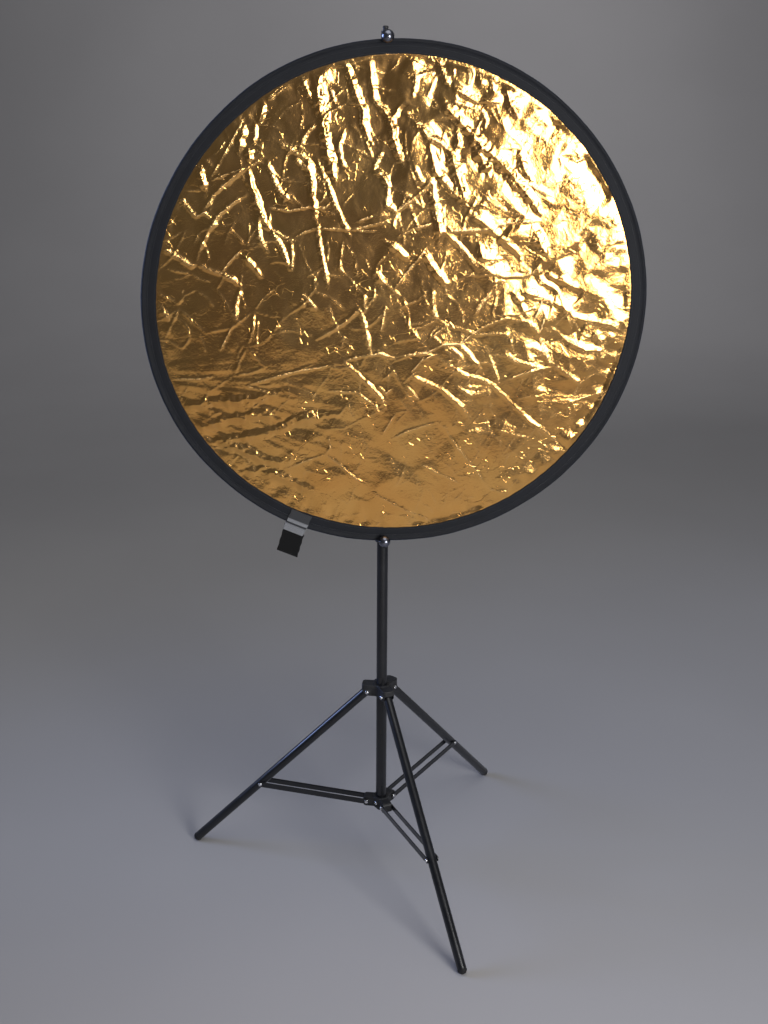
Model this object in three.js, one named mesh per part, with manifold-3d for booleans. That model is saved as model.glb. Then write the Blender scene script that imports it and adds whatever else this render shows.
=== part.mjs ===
// Collapsible disc reflector on a folding three-leg light stand.
// Units are millimetres, +Z is up, the gold face looks along -Y.
// The origin is on the floor, under the centre of the whole object's box.
import * as THREE from 'three';
import { mergeVertices } from 'three/addons/utils/BufferGeometryUtils.js';
import Module from 'manifold-3d';

const wasm = await Module();
wasm.setup();

// ---------------------------------------------------------------- driving dimensions
const POLE_X = -26;              // column axis, from the centre of the whole object's box
const POLE_Y = 53.2;
const GAP = 0.3;                 // clearance between neighbouring pieces

const LEG_AZIMUTHS = { left: 167.3, front: 287.3, rear: 47.3 };   // degrees from +X

const BASE_R = 13, BASE_WALL = 1.2, BASE_Z0 = 146, BASE_Z1 = 900;       // lower column tube, 26 mm
const SECOND_R = 10.8, SECOND_WALL = 1.2, SECOND_Z0 = 740, SECOND_Z1 = 1500; // 21.6 mm
const THIRD_R = 9.0, THIRD_WALL = 1.1, THIRD_Z0 = 1290, THIRD_Z1 = 1996;     // 18 mm
const SPIGOT_R = 6, SPIGOT_Z1 = 2009;

const HUB_R = 34.5, HUB_Z = 479;            // leg pivot radius and height
const HUB_BOTTOM = 469.5, HUB_TOP = 498.5, HUB_END = 48, HUB_HALF = 15.2, HUB_SLOT = 11.5;
const RING_R = 19.5, RING_BORE = BASE_R + 0.4;
const HOOD_EDGE = 485, HOOD_ROOF = 494.4, HOOD_WALL = 1.8;

const COLLAR_R = 35.5, COLLAR_Z = 165.5;    // brace pivot radius and height
const COLLAR_BOTTOM = 151, COLLAR_TOP = 180, COLLAR_END = 44, COLLAR_HALF = 11.7;

const FOOT_R = 483, FOOT_DOME = 11.3, FOOT_Z = 10.9;   // foot spread radius, dome radius, dome centre height
const LEG_R = 11, LEG_WALL = 1.2, LEG_OVER = 9;        // leg tube, length of tube past the pivot
const LEG_SHARE = 0.614;                               // brace rivet along the leg, from pivot to foot

const BAR_IN = 12.0, BAR_OUT = 14.2, BAR_HALF = 7;     // flat brace bars, either side of the leg
const PIN_R = 2.5, PIN_HOLE = 3.3, RIVET_HEAD_R = 4.6, RIVET_HEAD_H = 2.6;

const DISC_X = 26, DISC_Y = -30, DISC_Z = 1435;        // disc centre, from the column axis
const DISC_R = 550, BAND = 30;                         // outer radius and width of the edge binding
const HOOP_R = 545.2, HOOP_WIRE = 2.5, BEAD_R = 4.6;
const PANEL_R = 537, PANEL_T = 1.0, LIP_IN = 1.5, LIP_OUT = 2.5;

const LOW_STUD_Z = 893, TOP_STUD_Z = 1989.5, STUD_R = 3, BALL_R = 13.5, BALL_BACK = 8.5;   // BALL_BACK: flat behind the ball's centre
const LOW_BALL_Y = -48.4, TOP_BALL_Y = -45.8;
const JAW_FRONT = -39.4, JAW_BACK = -35.8, JAW_FLOOR = 880.5;      // hook of the lower clip, under and in front of the rim
const ARM_BACK = -19.7, ARM_FRONT = -23.4, ARM_HALF = 8;

const TAG_ANGLE = 24.5;          // strap position round the rim, degrees from the lowest point towards -X
const TAG_LONG = 62, TAG_SWING = 7.5;   // the tag hangs nearer the vertical than the strap

// ---------------------------------------------------------------- materials
const mat = (color, roughness, metalness) => new THREE.MeshStandardMaterial({ color, roughness, metalness });
const BLACK_TUBE = mat(0x17181d, 0.32, 0.75);
const BLACK_CAST = mat(0x1d1e22, 0.55, 0.1);
const BLACK_PLASTIC = mat(0x131316, 0.5, 0.0);
const RUBBER = mat(0x0f0f10, 0.85, 0.0);
const CHROME = mat(0xd6d8dc, 0.12, 1.0);
const STEEL = mat(0x9a9ca0, 0.35, 1.0);
const GOLD = mat(0xc8913a, 0.25, 1.0);
const SILVER = mat(0xc9cbcf, 0.35, 0.9);
const BINDING = mat(0x1a1c22, 0.8, 0.0);
const WEBBING = mat(0x8b8d92, 0.7, 0.0);
const TAG = mat(0x0d0d0f, 0.75, 0.0);

// ---------------------------------------------------------------- helpers
const deg = THREE.MathUtils.degToRad;
const V2 = (x, y) => new THREE.Vector2(x, y);

function solid(geometry) {
  const g = geometry.clone();
  for (const name of Object.keys(g.attributes)) if (name !== 'position') g.deleteAttribute(name);
  const m = mergeVertices(g, 1e-4);
  return new wasm.Manifold(new wasm.Mesh({
    numProp: 3,
    vertProperties: new Float32Array(m.attributes.position.array),
    triVerts: new Uint32Array(m.index.array),
  }));
}

function geometryOf(manifold) {
  const m = manifold.getMesh();
  const g = new THREE.BufferGeometry();
  const p = new Float32Array(m.numVert * 3);
  for (let i = 0; i < m.numVert; i++) for (let k = 0; k < 3; k++) p[3 * i + k] = m.vertProperties[i * m.numProp + k];
  g.setAttribute('position', new THREE.BufferAttribute(p, 3));
  g.setIndex(new THREE.BufferAttribute(new Uint32Array(m.triVerts), 1));
  g.computeVertexNormals();
  return g;
}

const cut = (a, ...tools) => tools.reduce((s, t) => s.subtract(t), a);
const join = (a, ...others) => others.reduce((s, t) => s.add(t), a);

// A solid of revolution about Z from [radius, z] points. The points run anticlockwise in the (radius, z) plane.
function lathe(points, segments) {
  const pts = points.map(([r, z]) => V2(r, z));
  const closed = points[0][0] > 1e-9 || points[points.length - 1][0] > 1e-9;
  if (closed) pts.push(pts[0].clone());
  const g = new THREE.LatheGeometry(pts, segments);
  g.rotateX(Math.PI / 2);
  return g;
}

const tube = (r, wall, z0, z1, segments) => lathe([[r - wall, z0], [r, z0], [r, z1], [r - wall, z1]], segments);

// A rod of revolution about X, from [x, radius] stations that start and end at radius 0.
function rodX(stations, segments) {
  const g = lathe(stations.map(([x, r]) => [r, x]), segments);
  g.rotateY(Math.PI / 2);
  return g;
}

function rodY(stations, segments) {
  const g = lathe(stations.map(([y, r]) => [r, y]), segments);
  g.rotateX(-Math.PI / 2);
  return g;
}

function box(x0, x1, y0, y1, z0, z1) {
  const g = new THREE.BoxGeometry(x1 - x0, y1 - y0, z1 - z0);
  g.translate((x0 + x1) / 2, (y0 + y1) / 2, (z0 + z1) / 2);
  return g;
}

// A plate drawn in the (x, z) plane and extruded along Y from y0 to y1.
function plateXZ(shape, y0, y1, curveSegments = 6) {
  const g = new THREE.ExtrudeGeometry(shape, { depth: y1 - y0, bevelEnabled: false, curveSegments });
  g.rotateX(Math.PI / 2);      // drawing y becomes z, and the depth runs along -Y
  g.translate(0, y1, 0);
  return g;
}

function poly(points) {
  const s = new THREE.Shape();
  s.moveTo(points[0][0], points[0][1]);
  for (const [x, y] of points.slice(1)) s.lineTo(x, y);
  s.closePath();
  return s;
}

function place(name, geometry, material, parent) {
  const m = new THREE.Mesh(geometry, material);
  m.name = name;
  parent.add(m);
  return m;
}

function group(parent, azimuth = 0) {
  const g = new THREE.Group();
  g.rotation.z = deg(azimuth);
  parent.add(g);
  return g;
}

// Round bar of revolution with two domed heads, along Y: a closed rivet.
function rivetY(halfGrip, segments = 8) {
  const h = RIVET_HEAD_H, R = RIVET_HEAD_R, g = halfGrip;
  return rodY([
    [-(g + h), 0], [-(g + h), R * 0.55], [-g - 0.8, R], [-g, R], [-g, PIN_R],
    [g, PIN_R], [g, R], [g + 0.8, R], [g + h, R * 0.55], [g + h, 0],
  ], segments);
}

const stand = new THREE.Group();
stand.position.set(POLE_X, POLE_Y, 0);
const root = new THREE.Group();
root.add(stand);

// ---------------------------------------------------------------- column
place('base_tube', tube(BASE_R, BASE_WALL, BASE_Z0, BASE_Z1, 20), BLACK_TUBE, stand);
{
  const r = BASE_R - BASE_WALL - GAP;
  place('column_end_cap', lathe([
    [0, BASE_Z0 - 3.5], [BASE_R - 1.2, BASE_Z0 - 3.5], [BASE_R - 0.2, BASE_Z0 - 2.5], [BASE_R - 0.2, BASE_Z0 - GAP],
    [r, BASE_Z0 - GAP], [r, BASE_Z0 + 16], [0, BASE_Z0 + 16],
  ], 20), BLACK_PLASTIC, stand);
}

// Lower collar: a ring with three solid tongues, and a brace bar on either side of each tongue.
const SCREW_AZ = 227.3;
{
  let s = solid(lathe([[0, COLLAR_BOTTOM], [RING_R, COLLAR_BOTTOM], [RING_R, COLLAR_TOP], [0, COLLAR_TOP]], 20));
  const e = COLLAR_END, b = COLLAR_BOTTOM + 1.5, t = COLLAR_TOP - 1.5, c = 7;
  const outline = poly([[6, b], [e - c, b], [e - c * 0.29, b + c * 0.29], [e, b + c], [e, t - c], [e - c * 0.29, t - c * 0.29], [e - c, t], [6, t]]);
  for (const a of Object.values(LEG_AZIMUTHS)) {
    const tongue = plateXZ(outline, -COLLAR_HALF, COLLAR_HALF);
    tongue.rotateZ(deg(a));
    s = s.add(solid(tongue));
  }
  s = s.subtract(solid(lathe([[0, 100], [RING_BORE, 100], [RING_BORE, 240], [0, 240]], 20)));
  for (const a of Object.values(LEG_AZIMUTHS)) {
    const hole = rodY([[-30, 0], [-30, PIN_HOLE], [30, PIN_HOLE], [30, 0]], 8);
    hole.translate(COLLAR_R, 0, COLLAR_Z);
    hole.rotateZ(deg(a));
    s = s.subtract(solid(hole));
  }
  const screwHole = rodX([[RING_BORE - 3, 0], [RING_BORE - 3, 2.6], [30, 2.6], [30, 0]], 10);
  screwHole.translate(0, 0, COLLAR_Z);
  screwHole.rotateZ(deg(SCREW_AZ));
  s = s.subtract(solid(screwHole));
  place('lower_collar', geometryOf(s), BLACK_CAST, stand);
}
{
  const g = group(stand, SCREW_AZ);
  const screw = place('collar_set_screw', rodX([[RING_BORE + 0.1, 0], [RING_BORE + 0.1, 2.1], [RING_R + 0.5, 2.1], [RING_R + 0.5, 4.2], [RING_R + 2.2, 3.8], [RING_R + 3.2, 2.2], [RING_R + 3.2, 0]], 12), CHROME, g);
  screw.position.z = COLLAR_Z;
}

// ---------------------------------------------------------------- sliding leg hub
const HUB_KNOB_AZ = 107.3, HUB_KNOB_Z = 484;
{
  let s = solid(lathe([[0, HUB_BOTTOM], [RING_R, HUB_BOTTOM], [RING_R, HUB_TOP], [0, HUB_TOP]], 20));
  // Plan outline of a lobe, with rounded outer corners.
  const e = HUB_END, w = HUB_HALF, c = 8;
  const plan = new THREE.Shape();
  plan.moveTo(4, -w); plan.lineTo(e - c, -w); plan.quadraticCurveTo(e, -w, e, -w + c);
  plan.lineTo(e, w - c); plan.quadraticCurveTo(e, w, e - c, w); plan.lineTo(4, w); plan.closePath();
  // Side outline: cheeks reach down round the pivot, the outer hood stops higher.
  const side = poly([[3, HUB_BOTTOM], [37, HUB_BOTTOM], [42, HUB_BOTTOM + 2.5], [46, HUB_BOTTOM + 8], [50, HOOD_EDGE - 0.5], [50, HUB_TOP - 1.2], [46.8, HUB_TOP], [3, HUB_TOP]]);
  for (const a of Object.values(LEG_AZIMUTHS)) {
    const lobePlan = new THREE.ExtrudeGeometry(plan, { depth: HUB_TOP - HUB_BOTTOM, bevelEnabled: false, curveSegments: 5 });
    lobePlan.translate(0, 0, HUB_BOTTOM);
    let lobe = solid(lobePlan).intersect(solid(plateXZ(side, -20, 20)));
    lobe = cut(lobe,
      solid(box(RING_R + 0.7, HUB_END - HOOD_WALL, -HUB_SLOT, HUB_SLOT, 440, HOOD_ROOF)),
      solid(box(RING_R + 0.7, 70, -HUB_SLOT, HUB_SLOT, 440, HOOD_EDGE)));
    const hole = rodY([[-30, 0], [-30, PIN_HOLE], [30, PIN_HOLE], [30, 0]], 8);
    hole.translate(HUB_R, 0, HUB_Z);
    lobe = lobe.subtract(solid(hole));
    s = s.add(lobe.rotate([0, 0, a]));
  }
  // Boss for the locking screw, at the back.
  const boss = rodX([[10, 0], [10, 7.5], [25, 7.5], [26, 6.5], [26, 0]], 16);
  boss.translate(0, 0, HUB_KNOB_Z); boss.rotateZ(deg(HUB_KNOB_AZ));
  s = s.add(solid(boss));
  s = s.subtract(solid(lathe([[0, 400], [RING_BORE, 400], [RING_BORE, 560], [0, 560]], 20)));
  const hole = rodX([[RING_BORE - 3, 0], [RING_BORE - 3, 3.4], [40, 3.4], [40, 0]], 12);
  hole.translate(0, 0, HUB_KNOB_Z); hole.rotateZ(deg(HUB_KNOB_AZ));
  s = s.subtract(solid(hole));
  place('leg_hub', geometryOf(s), BLACK_CAST, stand);
}
// Hand knob on a threaded shank: the shank starts at x0, the head runs from x1 to x2.
function knobX(x0, x1, x2, headR, segments = 12) {
  return rodX([[x0, 0], [x0, 2.9], [x1, 2.9], [x1, headR * 0.72], [x1 + 2, headR], [x2 - 2, headR], [x2, headR * 0.7], [x2, 0]], segments);
}
{
  const g = group(stand, HUB_KNOB_AZ);
  const k = place('hub_lock_knob', knobX(RING_BORE + 0.1, 26.4, 39, 9.5), BLACK_PLASTIC, g);
  k.position.z = HUB_KNOB_Z;
}

// ---------------------------------------------------------------- legs and braces
const LEG_DR = FOOT_R - HUB_R, LEG_DZ = HUB_Z - FOOT_Z;
const LEG_LENGTH = Math.hypot(LEG_DR, LEG_DZ);
const LEG_ANGLE = Math.atan2(LEG_DR, LEG_DZ);            // from vertical
const JOINT_R = HUB_R + LEG_DR * LEG_SHARE, JOINT_Z = HUB_Z - LEG_DZ * LEG_SHARE;
const BAR_LENGTH = Math.hypot(JOINT_R - COLLAR_R, JOINT_Z - COLLAR_Z);
const BAR_ANGLE = Math.atan2(JOINT_Z - COLLAR_Z, JOINT_R - COLLAR_R);   // from horizontal

for (const [side, azimuth] of Object.entries(LEG_AZIMUTHS)) {
  const radial = group(stand, azimuth);

  // Leg frame: origin at the pivot, -Z along the leg to the foot.
  const leg = new THREE.Group();
  leg.position.set(HUB_R, 0, HUB_Z);
  leg.rotation.y = -LEG_ANGLE;
  radial.add(leg);

  const holeY = rodY([[-30, 0], [-30, PIN_HOLE], [30, PIN_HOLE], [30, 0]], 8);
  const legTube = solid(tube(LEG_R, LEG_WALL, -LEG_LENGTH + 1, LEG_OVER - 1.6, 18)).subtract(solid(holeY));
  place(`leg_tube_${side}`, geometryOf(legTube), BLACK_TUBE, leg);

  const inner = LEG_R - LEG_WALL - GAP;
  const plug = solid(lathe([[0, -7.5], [inner, -7.5], [inner, LEG_OVER - 1.3], [LEG_R - 0.4, LEG_OVER - 1.3], [LEG_R - 1.6, LEG_OVER], [0, LEG_OVER]], 12)).subtract(solid(holeY));
  place(`leg_top_plug_${side}`, geometryOf(plug), BLACK_PLASTIC, leg);

  // Foot: a domed rubber plug with a small flat where it meets the floor.
  const dome = [];
  for (let i = 0; i <= 4; i++) {
    const t = -Math.PI / 2 + (Math.PI / 2) * (i / 4);
    dome.push([i === 0 ? 0 : FOOT_DOME * Math.cos(t), -LEG_LENGTH + FOOT_DOME * Math.sin(t)]);
  }
  let foot = solid(lathe([...dome, [FOOT_DOME, -LEG_LENGTH + 1 - GAP], [inner, -LEG_LENGTH + 1 - GAP], [inner, -LEG_LENGTH + 20], [0, -LEG_LENGTH + 20]], 14));
  const under = box(-200, 200, -200, 200, -100, 0);
  const toLeg = new THREE.Matrix4().makeTranslation(HUB_R, 0, HUB_Z).multiply(new THREE.Matrix4().makeRotationY(-LEG_ANGLE)).invert();
  under.translate(FOOT_R, 0, 0);
  under.applyMatrix4(toLeg);
  foot = foot.subtract(solid(under));
  place(`foot_cap_${side}`, geometryOf(foot), RUBBER, leg);

  // Leg pivot rivet, through both cheeks of the hub.
  const pivot = place(`leg_pivot_rivet_${side}`, rivetY(HUB_HALF + GAP), CHROME, radial);
  pivot.position.set(HUB_R, 0, HUB_Z);

  // Brace frame: origin at the collar pivot, +X along the bars to the leg.
  const brace = new THREE.Group();
  brace.position.set(COLLAR_R, 0, COLLAR_Z);
  brace.rotation.y = -BAR_ANGLE;
  radial.add(brace);
  const outline = new THREE.Shape();
  outline.absarc(0, 0, BAR_HALF, Math.PI / 2, 3 * Math.PI / 2, false);
  outline.absarc(BAR_LENGTH, 0, BAR_HALF, -Math.PI / 2, Math.PI / 2, false);
  outline.closePath();
  for (const x of [0, BAR_LENGTH]) {
    const hole = new THREE.Path();
    hole.absarc(x, 0, PIN_HOLE, 0, 2 * Math.PI, true);
    outline.holes.push(hole);
  }
  place(`brace_bar_${side}_a`, plateXZ(outline, -BAR_OUT, -BAR_IN, 4), BLACK_TUBE, brace);
  place(`brace_bar_${side}_b`, plateXZ(outline, BAR_IN, BAR_OUT, 4), BLACK_TUBE, brace);

  const innerRivet = place(`brace_inner_rivet_${side}`, rivetY(BAR_OUT + GAP), CHROME, radial);
  innerRivet.position.set(COLLAR_R, 0, COLLAR_Z);

  // Outer rivets: one short rivet holds each bar against the leg's side.
  for (const [tag, sign] of [['a', -1], ['b', 1]]) {
    const h = RIVET_HEAD_H, R = RIVET_HEAD_R, g0 = LEG_R + 0.4, g1 = BAR_OUT + GAP;
    const st = [[g0, 0], [g0, PIN_R], [g1, PIN_R], [g1, R], [g1 + 0.8, R], [g1 + h, R * 0.55], [g1 + h, 0]];
    const geo = rodY(st, 8);
    if (sign < 0) geo.rotateZ(Math.PI);
    const rivet = place(`brace_outer_rivet_${side}_${tag}`, geo, CHROME, brace);
    rivet.position.x = BAR_LENGTH;
  }
}

// ---------------------------------------------------------------- telescoping sections
place('second_section', tube(SECOND_R, SECOND_WALL, SECOND_Z0, SECOND_Z1, 20), BLACK_TUBE, stand);
place('third_section', tube(THIRD_R, THIRD_WALL, THIRD_Z0, THIRD_Z1, 20), BLACK_TUBE, stand);

// Plastic guide at the foot of each sliding tube: a wide ring below the tube and a spigot inside it.
function guide(name, z, outer, inner) {
  place(name, lathe([[inner - 2.6, z - 12], [outer, z - 12], [outer, z - GAP], [inner, z - GAP], [inner, z + 14], [inner - 2.6, z + 14]], 14), BLACK_PLASTIC, stand);
}
guide('second_section_guide', SECOND_Z0, BASE_R - BASE_WALL - GAP, SECOND_R - SECOND_WALL - GAP);
guide('third_section_guide', THIRD_Z0, SECOND_R - SECOND_WALL - GAP, THIRD_R - THIRD_WALL - GAP);

// Locking collar on the top of a tube, with a boss for its screw at the back (+Y).
function lockCollar(name, knobName, tubeR, nextR, zTop, height, wall) {
  const z0 = zTop - height + 6, z1 = zTop + 6, R = tubeR + GAP + wall, in1 = tubeR + GAP, in2 = nextR + 0.4;
  let s = solid(lathe([
    [0, z0], [R - 1.2, z0], [R, z0 + 1.2], [R, z1 - 1.8], [R - 1.8, z1], [0, z1],
  ], 20));
  const zk = z0 + (height - 6) / 2;
  const boss = rodY([[4, 0], [4, 8], [R + 6, 8], [R + 7, 7], [R + 7, 0]], 16);
  boss.translate(0, 0, zk);
  s = s.add(solid(boss));
  s = cut(s,
    solid(lathe([[0, z0 - 5], [in1, z0 - 5], [in1, zTop + GAP], [0, zTop + GAP]], 20)),
    solid(lathe([[0, z0 - 5], [in2, z0 - 5], [in2, z1 + 5], [0, z1 + 5]], 20)));
  const hole = rodY([[tubeR - 4, 0], [tubeR - 4, 3.4], [R + 20, 3.4], [R + 20, 0]], 12);
  hole.translate(0, 0, zk);
  s = s.subtract(solid(hole));
  place(name, geometryOf(s), BLACK_CAST, stand);
  const g = group(stand, 90);
  const k = place(knobName, knobX(tubeR + GAP + 0.1, R + 7.5, R + 7.5 + 14, 11), BLACK_PLASTIC, g);
  k.position.z = zk;
}
lockCollar('base_lock_collar', 'base_lock_knob', BASE_R, SECOND_R, BASE_Z1, 30, 5);
lockCollar('second_lock_collar', 'second_lock_knob', SECOND_R, THIRD_R, SECOND_Z1, 28, 5);

// Spigot that closes the top tube, with a flat top.
{
  const r = THIRD_R - THIRD_WALL - GAP, z = THIRD_Z1;
  place('top_spigot', lathe([
    [0, z - 20], [r, z - 20], [r, z + GAP], [THIRD_R, z + GAP], [THIRD_R, z + 2.6], [THIRD_R - 0.8, z + 3.2],
    [SPIGOT_R, z + 3.2], [SPIGOT_R, SPIGOT_Z1 - 1], [SPIGOT_R - 1, SPIGOT_Z1], [0, SPIGOT_Z1],
  ], 14), BLACK_CAST, stand);
}

// ---------------------------------------------------------------- rim clips
// A clip is a ring on the tube with a flat arm in front, closed by a ball knob on a stud. The upper stud runs from the
// arm over the rim. The lower arm hooks under the rim, and its stud screws through the hook against the rim.
function clip(prefix, tubeR, ringZ0, ringZ1, armZ0, armZ1, studZ, padZ0, padZ1, ballY, hookTop) {
  const outer = tubeR + 5.5;
  let s = solid(lathe([[0, ringZ0], [outer, ringZ0], [outer, ringZ1], [0, ringZ1]], 20));
  s = join(s,
    solid(box(-ARM_HALF, ARM_HALF, ARM_FRONT, -6, ringZ0 + 0.5, ringZ1 - 0.5)),
    solid(plateXZ(poly([
      [-ARM_HALF, armZ0 + 4], [-ARM_HALF + 4, armZ0], [ARM_HALF - 4, armZ0], [ARM_HALF, armZ0 + 4],
      [ARM_HALF, armZ1 - 4], [ARM_HALF - 4, armZ1], [-ARM_HALF + 4, armZ1], [-ARM_HALF, armZ1 - 4],
    ]), ARM_FRONT, ARM_BACK)));
  if (hookTop) {
    s = join(s,
      solid(box(-ARM_HALF + 1, ARM_HALF - 1, JAW_FRONT, ARM_BACK - 1, armZ0 + 0.5, JAW_FLOOR)),
      solid(plateXZ(poly([
        [-ARM_HALF, armZ0 + 4], [-ARM_HALF + 4, armZ0], [ARM_HALF - 4, armZ0], [ARM_HALF, armZ0 + 4],
        [ARM_HALF, hookTop - 4], [ARM_HALF - 4, hookTop], [-ARM_HALF + 4, hookTop], [-ARM_HALF, hookTop - 4],
      ]), JAW_FRONT, JAW_BACK)));
  }
  s = s.subtract(solid(lathe([[0, ringZ0 - 9], [tubeR + 0.4, ringZ0 - 9], [tubeR + 0.4, ringZ1 + 9], [0, ringZ1 + 9]], 20)));
  const holeY = hookTop ? JAW_BACK + 1 : ARM_BACK + 2, studY = hookTop ? -34.9 : ARM_BACK - 0.2;
  const hole = rodY([[-42, 0], [-42, STUD_R + 0.5], [holeY, STUD_R + 0.5], [holeY, 0]], 12);
  hole.translate(0, 0, studZ);
  s = s.subtract(solid(hole));
  place(`${prefix}_clip_body`, geometryOf(s), BLACK_CAST, stand);
  place(`${prefix}_clip_pad`, box(-7, 7, ARM_FRONT - 1.7, ARM_FRONT - GAP, padZ0, padZ1), RUBBER, stand);
  const stud = place(`${prefix}_clip_stud`, rodY([[ballY - 2, 0], [ballY - 2, STUD_R], [studY, STUD_R], [studY, 0]], 8), STEEL, stand);
  stud.position.z = studZ;
  const bore = rodY([[ballY - 2.5, 0], [ballY - 2.5, STUD_R + 0.4], [0, STUD_R + 0.4], [0, 0]], 8);
  const profile = [];
  for (let i = 0; i <= 8; i++) {
    const t = -Math.PI / 2 + (Math.PI / 2 + Math.asin(BALL_BACK / BALL_R)) * (i / 8);
    profile.push([ballY + BALL_R * Math.sin(t), i === 0 ? 0 : BALL_R * Math.cos(t)]);
  }
  profile.push([ballY + BALL_BACK, 0]);
  const knob = place(`${prefix}_ball_knob`, geometryOf(solid(rodY(profile, 14)).subtract(solid(bore))), CHROME, stand);
  knob.position.z = studZ;
}
clip('lower', SECOND_R, 909.5, 929, 874.5, 929, LOW_STUD_Z, 887.5, 905, LOW_BALL_Y, 901);
clip('upper', THIRD_R, 1944, 1964, 1944, 1997, TOP_STUD_Z, 1966, 1984, TOP_BALL_Y, 0);

// ---------------------------------------------------------------- reflector disc
const disc = new THREE.Group();
disc.position.set(DISC_X, DISC_Y, DISC_Z);
stand.add(disc);
const RIM_SEGMENTS = 60;
const onFace = (g) => g.rotateX(Math.PI / 2);     // turns the lathe axis from Z to -Y

{
  const wire = [];
  for (let i = 0; i < 6; i++) {
    const t = 2 * Math.PI * (i / 6);
    wire.push([HOOP_R + HOOP_WIRE * Math.cos(t), HOOP_WIRE * Math.sin(t)]);
  }
  place('spring_steel_hoop', onFace(lathe(wire, RIM_SEGMENTS)), STEEL, disc);
}
{
  // Section of the fabric binding: a bead round the hoop and two lips that hold the panels, open inwards.
  const c = DISC_R - BEAD_R, r0 = DISC_R - BAND, section = [[r0, -LIP_OUT], [c - 5.5, -LIP_OUT]];
  for (let i = 0; i <= 4; i++) {
    const t = -Math.PI / 2 + Math.PI * (i / 4);
    section.push([c + BEAD_R * Math.cos(t), BEAD_R * Math.sin(t)]);
  }
  section.push([c - 5.5, LIP_OUT], [r0, LIP_OUT], [r0, LIP_IN], [c - 5.0, LIP_IN]);
  for (const [dr, t] of [[-2.2, 2.9], [1.6, 3.1], [3.2, 1.3], [3.2, -1.3], [1.6, -3.1], [-2.2, -2.9]]) section.push([HOOP_R + dr, t]);
  section.push([c - 5.0, -LIP_IN], [r0, -LIP_IN]);
  place('edge_binding', onFace(lathe(section, RIM_SEGMENTS)), BINDING, disc);
}
const panel = (t0, t1) => onFace(lathe([[0, t0], [PANEL_R, t0], [PANEL_R, t1], [0, t1]], RIM_SEGMENTS));
place('gold_front_panel', panel(0.2, 0.2 + PANEL_T), GOLD, disc);
place('silver_rear_panel', panel(-0.2 - PANEL_T, -0.2), SILVER, disc);

// Webbing strap folded over the rim, and the flat end tag that hangs from it.
{
  const strap = new THREE.Group();
  strap.rotation.y = deg(TAG_ANGLE);          // turns "down" towards -X
  disc.add(strap);
  const out = BEAD_R + 0.7, t = 1.3, w = 25;
  // Drawn as (y, z) sections and extruded along x.
  const outline = [[-out - t, -(DISC_R - 36)], [-out - t, -(DISC_R + 2.2 + t)], [out + t, -(DISC_R + 2.2 + t)], [out + t, -(DISC_R - 36)], [out, -(DISC_R - 36)], [out, -(DISC_R + 2.2)], [-out, -(DISC_R + 2.2)], [-out, -(DISC_R - 36)]];
  const g = plateXZ(poly(outline), -w, w);
  g.rotateZ(Math.PI / 2);
  place('strap_loop', g, WEBBING, strap);
  const top = -(DISC_R + 3.8), slant = TAG_LONG * Math.sin(deg(TAG_SWING)), low = top - TAG_LONG * Math.cos(deg(TAG_SWING));
  const tag = plateXZ(poly([[-26, top], [-26 + slant, low], [26 + slant, low], [26, top]]), -1.5, 1.5);
  place('strap_tag', tag, TAG, strap);
}

export default root;
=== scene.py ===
"""Collapsible disc reflector on a light stand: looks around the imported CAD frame."""
import math

import bpy
import numpy as np
from mathutils import Matrix, Vector
from mathutils.geometry import delaunay_2d_cdt


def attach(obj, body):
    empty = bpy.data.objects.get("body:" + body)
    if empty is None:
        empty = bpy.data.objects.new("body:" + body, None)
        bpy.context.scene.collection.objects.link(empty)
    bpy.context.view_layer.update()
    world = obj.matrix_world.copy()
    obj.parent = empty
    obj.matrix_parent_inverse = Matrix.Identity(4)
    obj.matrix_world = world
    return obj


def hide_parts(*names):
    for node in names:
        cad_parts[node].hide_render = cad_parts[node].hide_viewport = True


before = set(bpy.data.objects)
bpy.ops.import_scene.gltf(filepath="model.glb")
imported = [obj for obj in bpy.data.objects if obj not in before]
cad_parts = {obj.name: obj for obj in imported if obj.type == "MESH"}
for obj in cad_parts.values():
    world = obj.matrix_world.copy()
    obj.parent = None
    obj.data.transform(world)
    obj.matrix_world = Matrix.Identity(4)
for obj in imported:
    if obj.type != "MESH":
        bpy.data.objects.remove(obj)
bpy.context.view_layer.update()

MM = 0.001
rad = math.radians

# ------------------------------------------------------------------ dimensions, mm (as in the CAD source)
POLE = (-26.0, 53.2)
AZ = {"left": 167.3, "front": 287.3, "rear": 47.3}
HUB_R, HUB_Z = 34.5, 479.0
COL_R, COL_Z = 35.5, 165.5
FOOT_R, FOOT_Z = 483.0, 10.9
LEG_LEN = math.hypot(FOOT_R - HUB_R, HUB_Z - FOOT_Z)
LEG_ANGLE = math.atan2(FOOT_R - HUB_R, HUB_Z - FOOT_Z)
SHARE = 0.614
JR, JZ = HUB_R + (FOOT_R - HUB_R) * SHARE, HUB_Z - (HUB_Z - FOOT_Z) * SHARE
BAR_LEN = math.hypot(JR - COL_R, JZ - COL_Z)
BAR_ANGLE = math.atan2(JZ - COL_Z, JR - COL_R)
DISC = (26.0, -30.0, 1435.0)
TAG_ANGLE = 24.5

# ------------------------------------------------------------------ camera (photo view)
cam_data = bpy.data.cameras.new("camera")
cam = bpy.data.objects.new("camera", cam_data)
bpy.context.scene.collection.objects.link(cam)
bpy.context.scene.camera = cam
cam_data.sensor_width, cam_data.lens = 36.0, 45.70
cam_data.clip_start, cam_data.clip_end = 0.05, 400.0


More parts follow.
